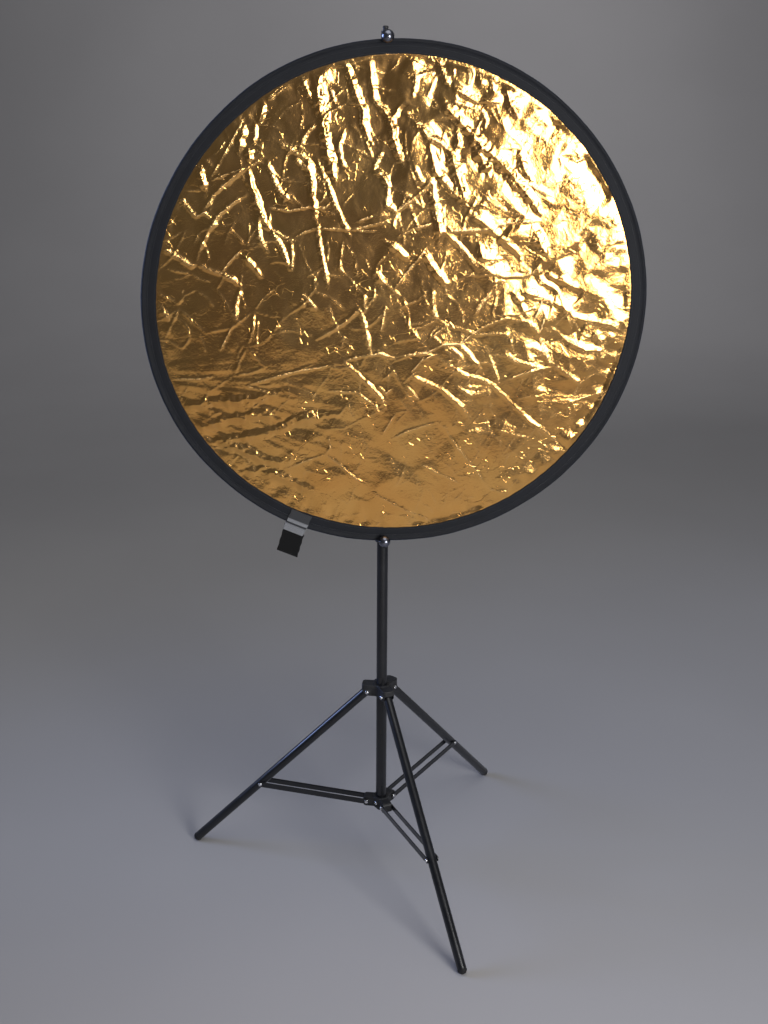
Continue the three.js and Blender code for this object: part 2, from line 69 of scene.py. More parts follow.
def place_camera():
    turn = Matrix.Rotation(rad(-5.36), 3, "Z")
    loc = Vector((POLE[0] * MM, POLE[1] * MM, 0)) + Matrix.Rotation(rad(-5.3), 3, "Z") @ Vector((0, -2.832, 2.02))
    fwd = turn @ Vector((0, math.cos(rad(20.74)), -math.sin(rad(20.74))))
    right = turn @ Vector((1, 0, 0))
    up = right.cross(fwd)
    c, s = math.cos(rad(0.37)), math.sin(rad(0.37))
    r2, u2 = c * right + s * up, -s * right + c * up
    cam.matrix_world = Matrix((
        (r2.x, u2.x, -fwd.x, loc.x), (r2.y, u2.y, -fwd.y, loc.y), (r2.z, u2.z, -fwd.z, loc.z), (0, 0, 0, 1)))


place_camera()
bpy.context.scene.view_settings.view_transform = "Standard"


# ------------------------------------------------------------------ shader helpers
class Tree:
    """Short names for building a material's node tree."""

    def __init__(self, name):
        self.mat = bpy.data.materials.new(name)
        self.mat.use_nodes = True
        self.nt = self.mat.node_tree
        self.nt.nodes.clear()
        self.out = self.nt.nodes.new("ShaderNodeOutputMaterial")
        self.bsdf = self.nt.nodes.new("ShaderNodeBsdfPrincipled")
        self.nt.links.new(self.bsdf.outputs[0], self.out.inputs[0])
        self.tc = self.nt.nodes.new("ShaderNodeTexCoord")
        self.obj = self.tc.outputs["Object"]
        self.uv = self.tc.outputs["UV"]

    def node(self, kind, props=None, **inputs):
        n = self.nt.nodes.new("ShaderNode" + kind)
        for k, v in (props or {}).items():
            setattr(n, k, v)
        for k, v in inputs.items():
            key = int(k[1:]) if k[0] == "i" and k[1:].isdigit() else k.replace("_", " ")
            self.set(n.inputs[key], v)
        return n

    def set(self, socket, v):
        if isinstance(v, bpy.types.NodeSocket):
            self.nt.links.new(v, socket)
        else:
            socket.default_value = v

    def math(self, op, a, b=0.0, c=0.0, clamp=False):
        return self.node("Math", {"operation": op, "use_clamp": clamp}, i0=a, i1=b, i2=c).outputs[0]

    def vec(self, op, a, b=(0, 0, 0)):
        n = self.node("VectorMath", {"operation": op})
        self.set(n.inputs[0], a)
        self.set(n.inputs[1], b)
        return n.outputs[0]

    def scaled(self, coords, scale):
        return self.node("Mapping", i0=coords, i3=scale if hasattr(scale, "__len__") else (scale,) * 3).outputs[0]

    def noise(self, coords, scale, detail=3.0, rough=0.55, distort=0.0):
        return self.node("TexNoise", Vector=coords, Scale=scale, Detail=detail, Roughness=rough, Distortion=distort).outputs[0]

    def ramp(self, value, a, b, lo=0.0, hi=1.0):
        return self.node("MapRange", {"interpolation_type": "SMOOTHSTEP"}, i0=value, i1=a, i2=b, i3=lo, i4=hi).outputs[0]

    def mix(self, fac, a, b):
        n = self.node("Mix", {"data_type": "RGBA"})
        self.set(n.inputs[0], fac)
        for i, v in ((6, a), (7, b)):
            self.set(n.inputs[i], (*v, 1.0) if hasattr(v, "__len__") and len(v) == 3 else v)
        return n.outputs[2]

    def bump(self, height, distance, strength=1.0, normal=None):
        n = self.node("Bump", Strength=strength, Distance=distance, Height=height)
        if normal is not None:
            self.nt.links.new(normal, n.inputs["Normal"])
        return n.outputs[0]

    def finish(self, **kw):
        for k, v in kw.items():
            name = k.replace("_", " ")
            if name == "Base Color" and hasattr(v, "__len__") and len(v) == 3:
                v = (*v, 1.0)
            self.set(self.bsdf.inputs[name], v)
        return self.mat


def m_tube():
    """Black powder finish on aluminium tube: fine orange peel, faint lengthwise rubs and dust."""
    t = Tree("black_tube")
    fine = t.noise(t.obj, 2600.0, 2.0)
    mid = t.noise(t.obj, 260.0, 3.0)
    wide = t.noise(t.obj, 14.0, 4.0)
    rubs = t.noise(t.scaled(t.obj, (900.0, 900.0, 14.0)), 1.0, 3.0, 0.6)
    rub = t.ramp(rubs, 0.66, 0.78)
    dust = t.ramp(wide, 0.45, 0.8)
    col = t.mix(dust, (0.0065, 0.0072, 0.0095), (0.013, 0.014, 0.018))
    col = t.mix(t.math("MULTIPLY", rub, 0.35), col, (0.045, 0.046, 0.05))
    rough = t.math("ADD", t.math("MULTIPLY", mid, 0.16), 0.22)
    rough = t.math("ADD", rough, t.math("MULTIPLY", dust, 0.08))
    n = t.bump(fine, 0.00005, 0.5)
    n = t.bump(mid, 0.00012, 0.35, n)
    return t.finish(Base_Color=col, Roughness=rough, Normal=n, IOR=1.5, Coat_Weight=0.25, Coat_Roughness=0.12)


def m_cast():
    """Moulded black nylon: pebbled faces, worn lighter edges."""
    t = Tree("black_casting")
    peb = t.node("TexVoronoi", {"feature": "F1"}, Vector=t.obj, Scale=1500.0).outputs[0]
    fine = t.noise(t.obj, 900.0, 4.0)
    wide = t.noise(t.obj, 60.0, 4.0)
    geo = t.node("NewGeometry")
    edge = t.ramp(geo.outputs["Pointiness"], 0.53, 0.60)
    scuff = t.math("MULTIPLY", edge, t.ramp(t.noise(t.obj, 160.0, 4.0), 0.35, 0.65), clamp=True)
    col = t.mix(t.ramp(wide, 0.3, 0.75), (0.012, 0.0125, 0.0145), (0.024, 0.0245, 0.027))
    col = t.mix(t.math("MULTIPLY", scuff, 0.6), col, (0.085, 0.085, 0.09))
    rough = t.math("ADD", t.math("MULTIPLY", fine, 0.2), 0.42)
    n = t.bump(peb, 0.00010, 0.45)
    n = t.bump(fine, 0.00010, 0.35, n)
    return t.finish(Base_Color=col, Roughness=rough, Normal=n, IOR=1.5)


def m_plastic():
    """Black knob plastic, a little smoother than the castings."""
    t = Tree("black_plastic")
    fine = t.noise(t.obj, 1300.0, 3.0)
    wide = t.noise(t.obj, 90.0, 3.0)
    geo = t.node("NewGeometry")
    edge = t.ramp(geo.outputs["Pointiness"], 0.53, 0.62)
    col = t.mix(t.ramp(wide, 0.3, 0.7), (0.008, 0.008, 0.009), (0.017, 0.017, 0.018))
    col = t.mix(t.math("MULTIPLY", edge, 0.35), col, (0.06, 0.06, 0.062))
    rough = t.math("ADD", t.math("MULTIPLY", wide, 0.2), 0.3)
    return t.finish(Base_Color=col, Roughness=rough, Normal=t.bump(fine, 0.0001, 0.5), IOR=1.49)


def m_rubber():
    """Dull black rubber with floor dust on its lower side."""
    t = Tree("black_rubber")
    fine = t.noise(t.obj, 1500.0, 4.0)
    pos = t.node("SeparateXYZ", i0=t.obj).outputs[2]
    low = t.ramp(pos, 0.0, 0.012, 1.0, 0.0)
    dust = t.math("MULTIPLY", low, t.ramp(t.noise(t.obj, 400.0, 4.0), 0.35, 0.7), clamp=True)
    col = t.mix(t.math("MULTIPLY", dust, 0.55), (0.008, 0.008, 0.009), (0.14, 0.135, 0.13))
    return t.finish(Base_Color=col, Roughness=t.math("ADD", t.math("MULTIPLY", fine, 0.2), 0.65), Normal=t.bump(fine, 0.0002, 0.6), IOR=1.5)


def m_metal(name, colour, low, span, scratch):
    """Bright plated metal: small scratches and smears in its gloss."""
    t = Tree(name)
    s1 = t.noise(t.scaled(t.obj, (2400.0, 260.0, 2400.0)), 1.0, 2.0)
    s2 = t.noise(t.scaled(t.obj, (260.0, 2200.0, 420.0)), 1.0, 2.0)
    smear = t.noise(t.obj, 180.0, 4.0)
    rough = t.math("ADD", t.math("MULTIPLY", smear, span), low)
    col = t.mix(t.ramp(smear, 0.3, 0.75), tuple(c * 0.86 for c in colour), colour)
    n = t.bump(s1, 0.00003, scratch)
    n = t.bump(s2, 0.00003, scratch, n)
    return t.finish(Base_Color=col, Metallic=1.0, Roughness=rough, Normal=n)


def m_foil(name, base, deep, low, span, painted_crease_highlight):
    """Metallised film on cloth: fine crackle between the folds, cloudy gloss and faint colour drift."""
    t = Tree(name)
    drift = t.noise(t.obj, 7.0, 3.0)
    cloud = t.noise(t.obj, 38.0, 4.0, 0.6)
    warp = t.node("TexNoise", Vector=t.obj, Scale=34.0, Detail=3.0).outputs[1]
    warped = t.vec("ADD", t.obj, t.vec("MULTIPLY", t.vec("SUBTRACT", warp, (0.5, 0.5, 0.5)), (0.02, 0.02, 0.02)))
    crack1 = t.node("TexVoronoi", {"feature": "DISTANCE_TO_EDGE"}, Vector=warped, Scale=46.0).outputs[0]
    crack2 = t.node("TexVoronoi", {"feature": "DISTANCE_TO_EDGE"}, Vector=warped, Scale=105.0).outputs[0]
    ridge1 = t.ramp(crack1, 0.0, 0.06, 1.0, 0.0)
    ridge2 = t.ramp(crack2, 0.0, 0.10, 1.0, 0.0)
    broken = t.ramp(t.noise(t.obj, 24.0, 3.0), 0.52, 0.68)
    broken2 = t.ramp(t.noise(t.obj, 50.0, 3.0), 0.55, 0.72)
    crease = t.math("ADD", t.math("MULTIPLY", ridge1, broken), t.math("MULTIPLY", t.math("MULTIPLY", ridge2, broken2), 0.45))
    grain = t.noise(t.obj, 1500.0, 3.0)
    soft = t.noise(t.obj, 150.0, 3.0, 0.55)
    n = t.bump(soft, 0.0009, 0.4)
    n = t.bump(crease, 0.00035, 0.8, n)
    n = t.bump(grain, 0.00005, 0.3, n)
    # along the creases the film is finely crushed and dull, in broken specks; its colour is also painted paler there, a
    # painted highlight on the crease lines
    mark = t.node("Attribute", {"attribute_name": "crease"}).outputs["Fac"]
    speck = t.ramp(t.noise(t.obj, 230.0, 2.0), 0.36, 0.58, 0.25, 1.0)
    crush_and_painted_highlight = t.math("MULTIPLY", mark, speck, clamp=True)
    n = t.bump(t.math("MULTIPLY", t.noise(t.obj, 430.0, 2.0), crush_and_painted_highlight), 0.0016, 0.9, n)
    col = t.mix(t.ramp(drift, 0.3, 0.7), base, deep)
    # paler colour along the crease mark: painted highlight
    col = t.mix(t.math("MULTIPLY", crush_and_painted_highlight, 0.75), col, painted_crease_highlight)
    rough = t.math("ADD", t.math("MULTIPLY", cloud, span), low)
    rough = t.math("ADD", rough, t.math("MULTIPLY", crush_and_painted_highlight, 0.34), clamp=True)
    return t.finish(Base_Color=col, Metallic=1.0, Roughness=rough, Normal=n, Coat_Weight=0.22, Coat_Roughness=0.42)


def m_binding():
    """Tight black nylon tape: a fine over-and-under weave in UV millimetres, sheen on the folds."""
    t = Tree("black_binding")
    sep = t.node("SeparateXYZ", i0=t.uv)
    u, v = sep.outputs[0], sep.outputs[1]
    wave = lambda x, pitch: t.math("SINE", t.math("MULTIPLY", x, 2 * math.pi / pitch))
    weave = t.math("MULTIPLY", wave(u, 0.0016), wave(v, 0.0012))
    rib = wave(v, 0.0012)
    wide = t.noise(t.obj, 26.0, 4.0)
    fuzz = t.noise(t.obj, 1800.0, 3.0)
    col = t.mix(t.ramp(wide, 0.3, 0.75), (0.0036, 0.0044, 0.0074), (0.0066, 0.0080, 0.0126))
    col = t.mix(t.ramp(weave, -0.4, 0.9, 0.0, 0.35), col, (0.014, 0.0165, 0.024))
    n = t.bump(t.math("ADD", weave, t.math("MULTIPLY", rib, 0.5)), 0.00016, 0.55)
    n = t.bump(wide, 0.0016, 0.3, n)
    n = t.bump(fuzz, 0.0001, 0.3, n)
    return t.finish(Base_Color=col, Roughness=t.math("ADD", t.math("MULTIPLY", wide, 0.14), 0.55), Normal=n, IOR=1.38,
                    Sheen_Weight=0.16, Sheen_Roughness=0.4, Sheen_Tint=(0.45, 0.6, 1.0, 1.0))


def m_webbing():
    """Translucent grey nylon webbing: herringbone ribs along the strap."""
    t = Tree("grey_webbing")
    sep = t.node("SeparateXYZ", i0=t.uv)
    u, v = sep.outputs[0], sep.outputs[1]
    wave = lambda x, pitch: t.math("SINE", t.math("MULTIPLY", x, 2 * math.pi / pitch))
    zig = t.math("MULTIPLY", t.math("ABSOLUTE", wave(u, 0.009)), 0.0016)
    ribs = wave(t.math("ADD", v, zig), 0.0021)
    cross = wave(u, 0.0024)
    fuzz = t.noise(t.obj, 1500.0, 3.0)
    wide = t.noise(t.obj, 120.0, 3.0)
    h = t.math("ADD", t.math("MULTIPLY", ribs, 0.7), t.math("MULTIPLY", cross, 0.35))
    col = t.mix(t.ramp(h, -0.9, 0.9), (0.13, 0.135, 0.15), (0.36, 0.37, 0.40))
    col = t.mix(t.ramp(wide, 0.35, 0.7, 0.0, 0.4), col, (0.22, 0.225, 0.24))
    # dull over the lip, painted lighter over the bead and again under the rim as painted highlights, dark and
    # see-through between
    near = t.math("MULTIPLY", t.ramp(v, 0.0205, 0.0235), t.ramp(v, 0.0290, 0.0305, 1.0, 0.0))
    below = t.math("MULTIPLY", t.ramp(v, 0.0335, 0.0350), t.ramp(v, 0.060, 0.064, 1.0, 0.0))
    painted_highlight_band = t.math("ADD", near, below, clamp=True)
    col = t.mix(painted_highlight_band, t.mix(0.88, col, (0.010, 0.011, 0.014)), col)
    n = t.bump(h, 0.00028, 0.7)
    n = t.bump(fuzz, 0.0001, 0.4, n)
    return t.finish(Base_Color=col, Roughness=t.math("ADD", t.math("MULTIPLY", fuzz, 0.15), 0.5), Normal=n, IOR=1.42,
                    Sheen_Weight=0.08, Sheen_Roughness=0.5)


def m_tag():
    """Flat black coarse cloth tag with a plain weave."""
    t = Tree("black_tag")
    sep = t.node("SeparateXYZ", i0=t.uv)
    u, v = sep.outputs[0], sep.outputs[1]
    wave = lambda x, pitch: t.math("SINE", t.math("MULTIPLY", x, 2 * math.pi / pitch))
    weave = t.math("MULTIPLY", wave(u, 0.0018), wave(v, 0.0018))
    wide = t.noise(t.obj, 70.0, 3.0)
    fuzz = t.noise(t.obj, 2000.0, 3.0)
    col = t.mix(t.ramp(weave, -0.8, 0.9), (0.0016, 0.0016, 0.0020), (0.0048, 0.0048, 0.0056))
    n = t.bump(weave, 0.0002, 0.6)
    n = t.bump(fuzz, 0.0001, 0.4, n)
    return t.finish(Base_Color=col, Roughness=t.math("ADD", t.math("MULTIPLY", wide, 0.1), 0.75), Normal=n, IOR=1.36, Sheen_Weight=0.03)


def m_thread():
    t = Tree("black_thread")
    fuzz = t.noise(t.obj, 3000.0, 3.0)
    wide = t.noise(t.obj, 60.0, 2.0)
    col = t.mix(t.ramp(wide, 0.3, 0.7), (0.010, 0.0115, 0.016), (0.022, 0.025, 0.033))
    return t.finish(Base_Color=col, Roughness=0.5, Normal=t.bump(fuzz, 0.0001, 0.5), Sheen_Weight=0.3)


def m_floor():
    t = Tree("floor")
    wide = t.noise(t.obj, 0.55, 3.0)
    fine = t.noise(t.obj, 240.0, 3.0)
    col = t.mix(t.ramp(wide, 0.3, 0.7), (0.470, 0.463, 0.470), (0.510, 0.503, 0.510))
    col = t.mix(t.math("MULTIPLY", fine, 0.1), col, (0.40, 0.395, 0.41))
    return t.finish(Base_Color=col, Roughness=0.85, Normal=t.bump(fine, 0.0003, 0.25), Specular_IOR_Level=0.2)


MATS = {
    "black_tube": m_tube(), "black_casting": m_cast(), "black_plastic": m_plastic(), "black_rubber": m_rubber(),
    "chrome": m_metal("chrome", (0.86, 0.87, 0.90), 0.05, 0.14, 0.25),
    "ball_plating": m_metal("black_chrome", (0.23, 0.24, 0.29), 0.20, 0.12, 0.25),
    "bright_steel": m_metal("bright_steel", (0.60, 0.605, 0.62), 0.18, 0.22, 0.5),
    # the last colour of each foil is its painted crease highlight
    "gold_foil": m_foil("gold_foil", (0.88, 0.485, 0.138), (0.85, 0.43, 0.112), 0.10, 0.12, (0.95, 0.74, 0.42)),
    "silver_foil": m_foil("silver_foil", (0.86, 0.87, 0.89), (0.80, 0.81, 0.84), 0.2, 0.16, (0.93, 0.94, 0.96)),
    "black_binding": m_binding(), "grey_webbing": m_webbing(), "black_tag": m_tag(), "thread": m_thread(),
}


# ------------------------------------------------------------------ mesh helpers
def add(name, verts, faces, slot, body, nodes=(), matrix=None, uv=None, sharp=None, mat=None, smooth=True):
    """Makes a mesh from millimetre points about the pole axis (after matrix), and hangs it on its body."""
    pts = np.asarray(verts, float).reshape(-1, 3)
    if matrix is not None:
        m = np.array(matrix)
        pts = pts @ m[:3, :3].T + m[:3, 3]
    pts = (pts + np.array([POLE[0], POLE[1], 0.0])) * MM
    me = bpy.data.meshes.new(name)
    me.from_pydata(pts.tolist(), [], faces if isinstance(faces, list) else faces.tolist())
    me.update()
    if uv is not None:
        layer = me.uv_layers.new(name="UVMap")
        loops = np.zeros(len(me.loops), np.int32)
        me.loops.foreach_get("vertex_index", loops)
        flat = np.asarray(uv, np.float32)
        flat = flat[loops] if len(flat) == len(pts) else flat
        layer.data.foreach_set("uv", flat.ravel())
    if smooth:
        me.polygons.foreach_set("use_smooth", [True] * len(me.polygons))
    if sharp:
        me.set_sharp_from_angle(angle=rad(sharp))
    me.materials.append(MATS[mat or slot])
    o = bpy.data.objects.new(name, me)
    bpy.context.scene.collection.objects.link(o)
    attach(o, body)
    if nodes:
        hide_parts(*nodes)
    return o


def fillet(points, sizes, steps=4):
    """Rounds the corners of a closed (r, z) outline. sizes is one radius or one per corner."""
    pts = [np.array(p, float) for p in points]
    n = len(pts)
    sizes = [sizes] * n if not hasattr(sizes, "__len__") else sizes
    out = []
    for i, p in enumerate(pts):
        a, b, s = pts[i - 1], pts[(i + 1) % n], sizes[i]
        la, lb = np.linalg.norm(a - p), np.linalg.norm(b - p)
        s = min(s, 0.45 * la, 0.45 * lb)
        if s < 1e-4 or (p[0] < 1e-9):
            out.append(p)
            continue
        u, v = (a - p) / la, (b - p) / lb
        for k in range(steps + 1):
            t = k / steps
            out.append((1 - t) ** 2 * (p + u * s) + 2 * t * (1 - t) * p + t * t * (p + v * s))
    return np.array(out)


def ring_faces(rows, cols, wrap_rows=True, wrap_cols=True):
    i = np.arange(rows if wrap_rows else rows - 1)[:, None]
    j = np.arange(cols if wrap_cols else cols - 1)[None, :]
    i2, j2 = (i + 1) % rows, (j + 1) % cols
    return np.stack([i * cols + j, i2 * cols + j, i2 * cols + j2, i * cols + j2], -1).reshape(-1, 4)


def revolve(name, profile, segments, slot, body, nodes=(), matrix=None, axis="Z", wobble=None, sharp=30, mat=None, closed=True):
    """Solid of revolution from a closed outline of (radius, height) points, anticlockwise. wobble(theta, r, z) may return new (r, z)."""
    prof = np.asarray(profile, float)
    th = np.linspace(0, 2 * math.pi, segments, endpoint=False)
    T = th[:, None]
    R, Z = np.broadcast_to(prof[:, 0], (segments, len(prof))), np.broadcast_to(prof[:, 1], (segments, len(prof)))
    if wobble is not None:
        R, Z = wobble(T, R, Z)
    x, y, z = R * np.cos(T), R * np.sin(T), Z + 0 * T
    if axis == "Z":
        v = np.stack([x, y, z], -1)
    elif axis == "X":
        v = np.stack([z, x, y], -1)
    else:
        v = np.stack([y, z, x], -1)
    faces = ring_faces(segments, len(prof), True, closed)
    d = np.r_[0, np.cumsum(np.hypot(*np.diff(prof, axis=0).T))]
    uv = np.stack([np.broadcast_to(th[:, None] * np.median(prof[:, 0]), R.shape), np.broadcast_to(d, R.shape)], -1) * MM
    o = add(name, v.reshape(-1, 3), faces, slot, body, nodes, matrix, uv.reshape(-1, 2), None, mat)
    tidy(o, sharp)
    return o


def tidy(o, sharp=None):
    """Merges doubled points on the axis, drops empty faces and turns the faces outwards."""
    import bmesh
    bm = bmesh.new()
    bm.from_mesh(o.data)
    bmesh.ops.remove_doubles(bm, verts=bm.verts, dist=1e-6)
    bmesh.ops.dissolve_degenerate(bm, edges=bm.edges, dist=1e-6)
    bmesh.ops.recalc_face_normals(bm, faces=bm.faces)
    bm.to_mesh(o.data)
    bm.free()
    o.data.polygons.foreach_set("use_smooth", [True] * len(o.data.polygons))
    if sharp:
        o.data.set_sharp_from_angle(angle=rad(sharp))
    o.data.update()


def tube_outline(r, wall, z0, z1, edge=0.4):
    return fillet([(r - wall, z0), (r, z0), (r, z1), (r - wall, z1)], edge, 4)


# signed distances, mm
def rect2(x, y, hx, hy, r=0.0):
    qx, qy = np.abs(x) - (hx - r), np.abs(y) - (hy - r)
    return np.minimum(np.maximum(qx, qy), 0) + np.hypot(np.maximum(qx, 0), np.maximum(qy, 0)) - r


def extrude2(d2, w, half, r=1.0):
    qx, qy = d2 + r, np.abs(w) - (half - r)
    return np.minimum(np.maximum(qx, qy), 0) + np.hypot(np.maximum(qx, 0), np.maximum(qy, 0)) - r


def smin(a, b, k):
    h = np.clip(0.5 + 0.5 * (b - a) / k, 0, 1)
    return b + (a - b) * h - k * h * (1 - h)


def smax(a, b, k):
    return -smin(-a, -b, k)


def turned(x, y, deg_):
    c, s = math.cos(rad(deg_)), math.sin(rad(deg_))
    return x * c + y * s, -x * s + y * c


def surface(name, fn, lo, hi, step, slot, body, nodes=(), matrix=None, mat=None):
    """Closed skin of fn < 0 by surface nets, each vertex then moved onto the exact surface."""
    lo = np.array(lo, float)
    n = [int(math.ceil((hi[i] - lo[i]) / step)) + 1 for i in range(3)]
    ax = [lo[i] + step * np.arange(n[i]) for i in range(3)]
    d = fn(*np.meshgrid(*ax, indexing="ij"))
    inside = d < 0
    s = np.zeros([k - 1 for k in n], np.int8)
    corners = [(a, b, c) for a in (0, 1) for b in (0, 1) for c in (0, 1)]
    for a, b, c in corners:
        s += inside[a:n[0] - 1 + a, b:n[1] - 1 + b, c:n[2] - 1 + c]
    active = (s > 0) & (s < 8)
    cells = np.argwhere(active)
    index = -np.ones(active.shape, np.int64)
    index[active] = np.arange(len(cells))
    pos, cnt = np.zeros((len(cells), 3)), np.zeros(len(cells))
    for i, p in enumerate(corners):
        for q in corners[i + 1:]:
            if sum(abs(p[k] - q[k]) for k in range(3)) != 1:
                continue
            A, B = cells + p, cells + q
            da, db = d[tuple(A.T)], d[tuple(B.T)]
            m = (da < 0) != (db < 0)
            t = (da / np.where(m, da - db, 1))[:, None]
            pos[m] += (A + t * (B - A))[m]
            cnt[m] += 1
    w = lo + step * pos / cnt[:, None]
    e = 0.08 * step
    for _ in range(3):
        f = fn(*w.T)
        g = np.stack([fn(*(w + e * np.eye(3)[k]).T) - fn(*(w - e * np.eye(3)[k]).T) for k in range(3)], -1) / (2 * e)
        move = f[:, None] * g / np.maximum((g * g).sum(-1), 0.05)[:, None]
        far = np.linalg.norm(move, axis=-1)
        w -= move * np.minimum(1, 0.5 * step / np.maximum(far, 1e-9))[:, None]
    quads = []
    for k in range(3):
        u, v = (k + 1) % 3, (k + 2) % 3
        a = np.take(inside, range(0, n[k] - 1), k)
        b = np.take(inside, range(1, n[k]), k)
        c = np.argwhere(a != b)
        c = c[(c[:, u] > 0) & (c[:, v] > 0) & (c[:, u] < n[u] - 1) & (c[:, v] < n[v] - 1)]
        eu, ev = np.eye(3, dtype=int)[u], np.eye(3, dtype=int)[v]
        q = np.stack([index[tuple((c - eu - ev).T)], index[tuple((c - ev).T)], index[tuple(c.T)], index[tuple((c - eu).T)]], -1)
        flip = b[tuple(c.T)]
        q[flip] = q[flip][:, ::-1]
        quads.append(q)
    return add(name, w, np.concatenate(quads), slot, body, nodes, matrix, mat=mat)


def at(x=0, y=0, z=0, rz=0.0, ry=0.0):
    return Matrix.Rotation(rad(rz), 4, "Z") @ Matrix.Translation((x, y, z)) @ Matrix.Rotation(ry, 4, "Y")


# ------------------------------------------------------------------ column
revolve("column_tube", tube_outline(13, 1.2, 146, 900), 96, "black_tube", "column", ["base_tube"])
revolve("column_foot_plug", fillet([(0, 142.5), (11.8, 142.5), (12.8, 143.5), (12.8, 145.7), (11.5, 145.7), (11.5, 162), (0, 162)], [0, 0, .5, .3, .2, .4, 0]),
        64, "black_plastic", "column", ["column_end_cap"], closed=False)


def f_collar(x, y, z):
    r = np.hypot(x, y)
    ring = extrude2(r - 19.5, z - 165.5, 14.5, 1.1)
    lip = extrude2(np.abs(r - 16.6) - 1.7, z - 165.5, 14.5, 0.5)
    d = ring
    for a in AZ.values():
        u, v = turned(x, y, a)
        tongue = extrude2(rect2(u - 24, z - 165.5, 20, 13, 7.0), v, 11.7, 1.0)
        tongue = np.maximum(tongue, 4 - u)
        # shallow moulded recess on each side of the tongue, round the pivot
        boss = np.hypot(u - COL_R, z - COL_Z) - 6.6
        dish = np.maximum(rect2(u - 30.5, z - 165.5, 10.5, 9.6, 4.5), -boss)
        tongue = smax(tongue, -np.maximum(dish, 10.7 - np.abs(v)), 0.5)
        hole = np.maximum(np.hypot(u - COL_R, z - COL_Z) - 2.9, -u)
        tongue = np.maximum(tongue, -hole)
        # core-out pocket seen from below
        pocket = extrude2(rect2(u - 27.5, v, 6.0, 8.0, 2.0), z - 150, 12.0, 1.0)
        tongue = smax(tongue, -pocket, 0.6)
        d = smin(d, tongue, 2.2)
    u, v = turned(x, y, 227.3)
    d = np.maximum(d, -np.maximum(np.hypot(v, z - COL_Z) - 2.4, 10 - u))
    d = smax(d, -(r - 13.35), 0.5)
    return np.minimum(d, np.maximum(lip, -(r - 13.35)))


surface("collar_body", f_collar, (-48, -48, 149), (48, 48, 182), 0.9, "black_casting", "column", ["lower_collar"])
revolve("collar_screw", fillet([(0, 13.5), (2.1, 13.5), (2.1, 20), (4.2, 20), (4.1, 21.6), (2.8, 22.6), (2.0, 22.7), (1.6, 21.2), (0, 21.2)], [0, .2, .2, .3, .6, .4, .2, .2, 0]),
        40, "chrome", "column", ["collar_set_screw"], at(0, 0, COL_Z, 227.3), "X", closed=False)


# ------------------------------------------------------------------ hub
def f_hub(x, y, z):
    r = np.hypot(x, y)
    zc = 484.0
    d = extrude2(r - 19.5, z - zc, 14.5, 1.0)
    for a in AZ.values():
        u, v = turned(x, y, a)
        lobe = extrude2(rect2(u - 26, v, 22, 15.2, 8.0), z - zc, 14.5, 1.4)
        cut = ((u - 38.4) * 15 - (z - 469.5) * 13) / 19.85
        lobe = smax(lobe, cut, 3.0)
        lobe = np.maximum(lobe, 4 - u)
        slot_in = np.maximum(np.maximum(np.abs(v) - 11.5, 20.2 - u), np.maximum(u - 46.0, z - 494.4))
        slot_out = np.maximum(np.maximum(np.abs(v) - 11.5, 20.2 - u), z - 485.0)
        lobe = smax(lobe, -np.minimum(slot_in, slot_out), 0.7)
        # a shallow dished top with a border
        dish = extrude2(rect2(u - 31.5, v, 13.2, 11.6, 5.5), z - 499.5, 1.9, 0.6)
        lobe = smax(lobe, -dish, 0.5)
        # pivot bosses on the cheeks
        pad = np.maximum(np.hypot(u - HUB_R, z - HUB_Z) - 6.4, np.abs(v) - 15.2)
        pad = np.maximum(pad, 11.5 - np.abs(v))
        side = np.maximum(rect2(u - 31.5, z - 482.5, 11.5, 9.8, 4.0), 14.5 - np.abs(v))
        lobe = smax(lobe, -side, 0.5)
        lobe = smin(lobe, pad, 0.5)
        hole = np.maximum(np.hypot(u - HUB_R, z - HUB_Z) - 2.9, -u)
        lobe = np.maximum(lobe, -hole)
        d = smin(d, lobe, 2.4)
    u, v = turned(x, y, 107.3)
    boss = extrude2(np.hypot(v, z - 484) - 7.5, u - 18, 8.0, 0.9)
    d = smin(d, boss, 2.5)
    d = np.maximum(d, -np.maximum(np.hypot(v, z - 484) - 3.3, 10 - u))
    crown = extrude2(np.abs(r - 15.9) - 1.9, z - zc, 14.5, 0.5)
    d = smax(d, -(r - 13.35), 0.5)
    return np.minimum(d, np.maximum(crown, -(r - 13.35)))


surface("hub_body", f_hub, (-52, -52, 467), (52, 52, 501), 0.9, "black_casting", "hub", ["leg_hub"])


def knob(name, x0, x1, x2, r, lobes, body, node, matrix):
    """Hand knob: threaded shank, waisted neck, and a head with scalloped grips."""
    outline = fillet([(0, x0), (2.5, x0), (2.9, x0 + 1), (2.9, x1 - 0.2), (r * 0.62, x1), (r * 0.72, x1 + 1.6), (r, x1 + 3.4), (r, x2 - 2.6), (r * 0.8, x2 - 0.6), (r * 0.55, x2), (r * 0.5, x2 - 0.7), (0, x2 - 0.7)],
                     [0, .2, .2, .1, .5, .8, 1.2, 1.6, .8, .4, .2, 0], 5)

    def scallop(T, R, Z):
        grip = np.clip((R - r * 0.7) / (r * 0.3), 0, 1)
        return R * (1 - 0.13 * grip * (0.5 - 0.5 * np.cos(lobes * T)) ** 1.5), Z

    return revolve(name, outline, 144, "black_plastic", body, [node], matrix, "X", scallop, 35, closed=False)


knob("hub_knob_head", 13.5, 26.4, 39, 9.5, 8, "hub_knob", "hub_lock_knob", at(0, 0, 484, 107.3))


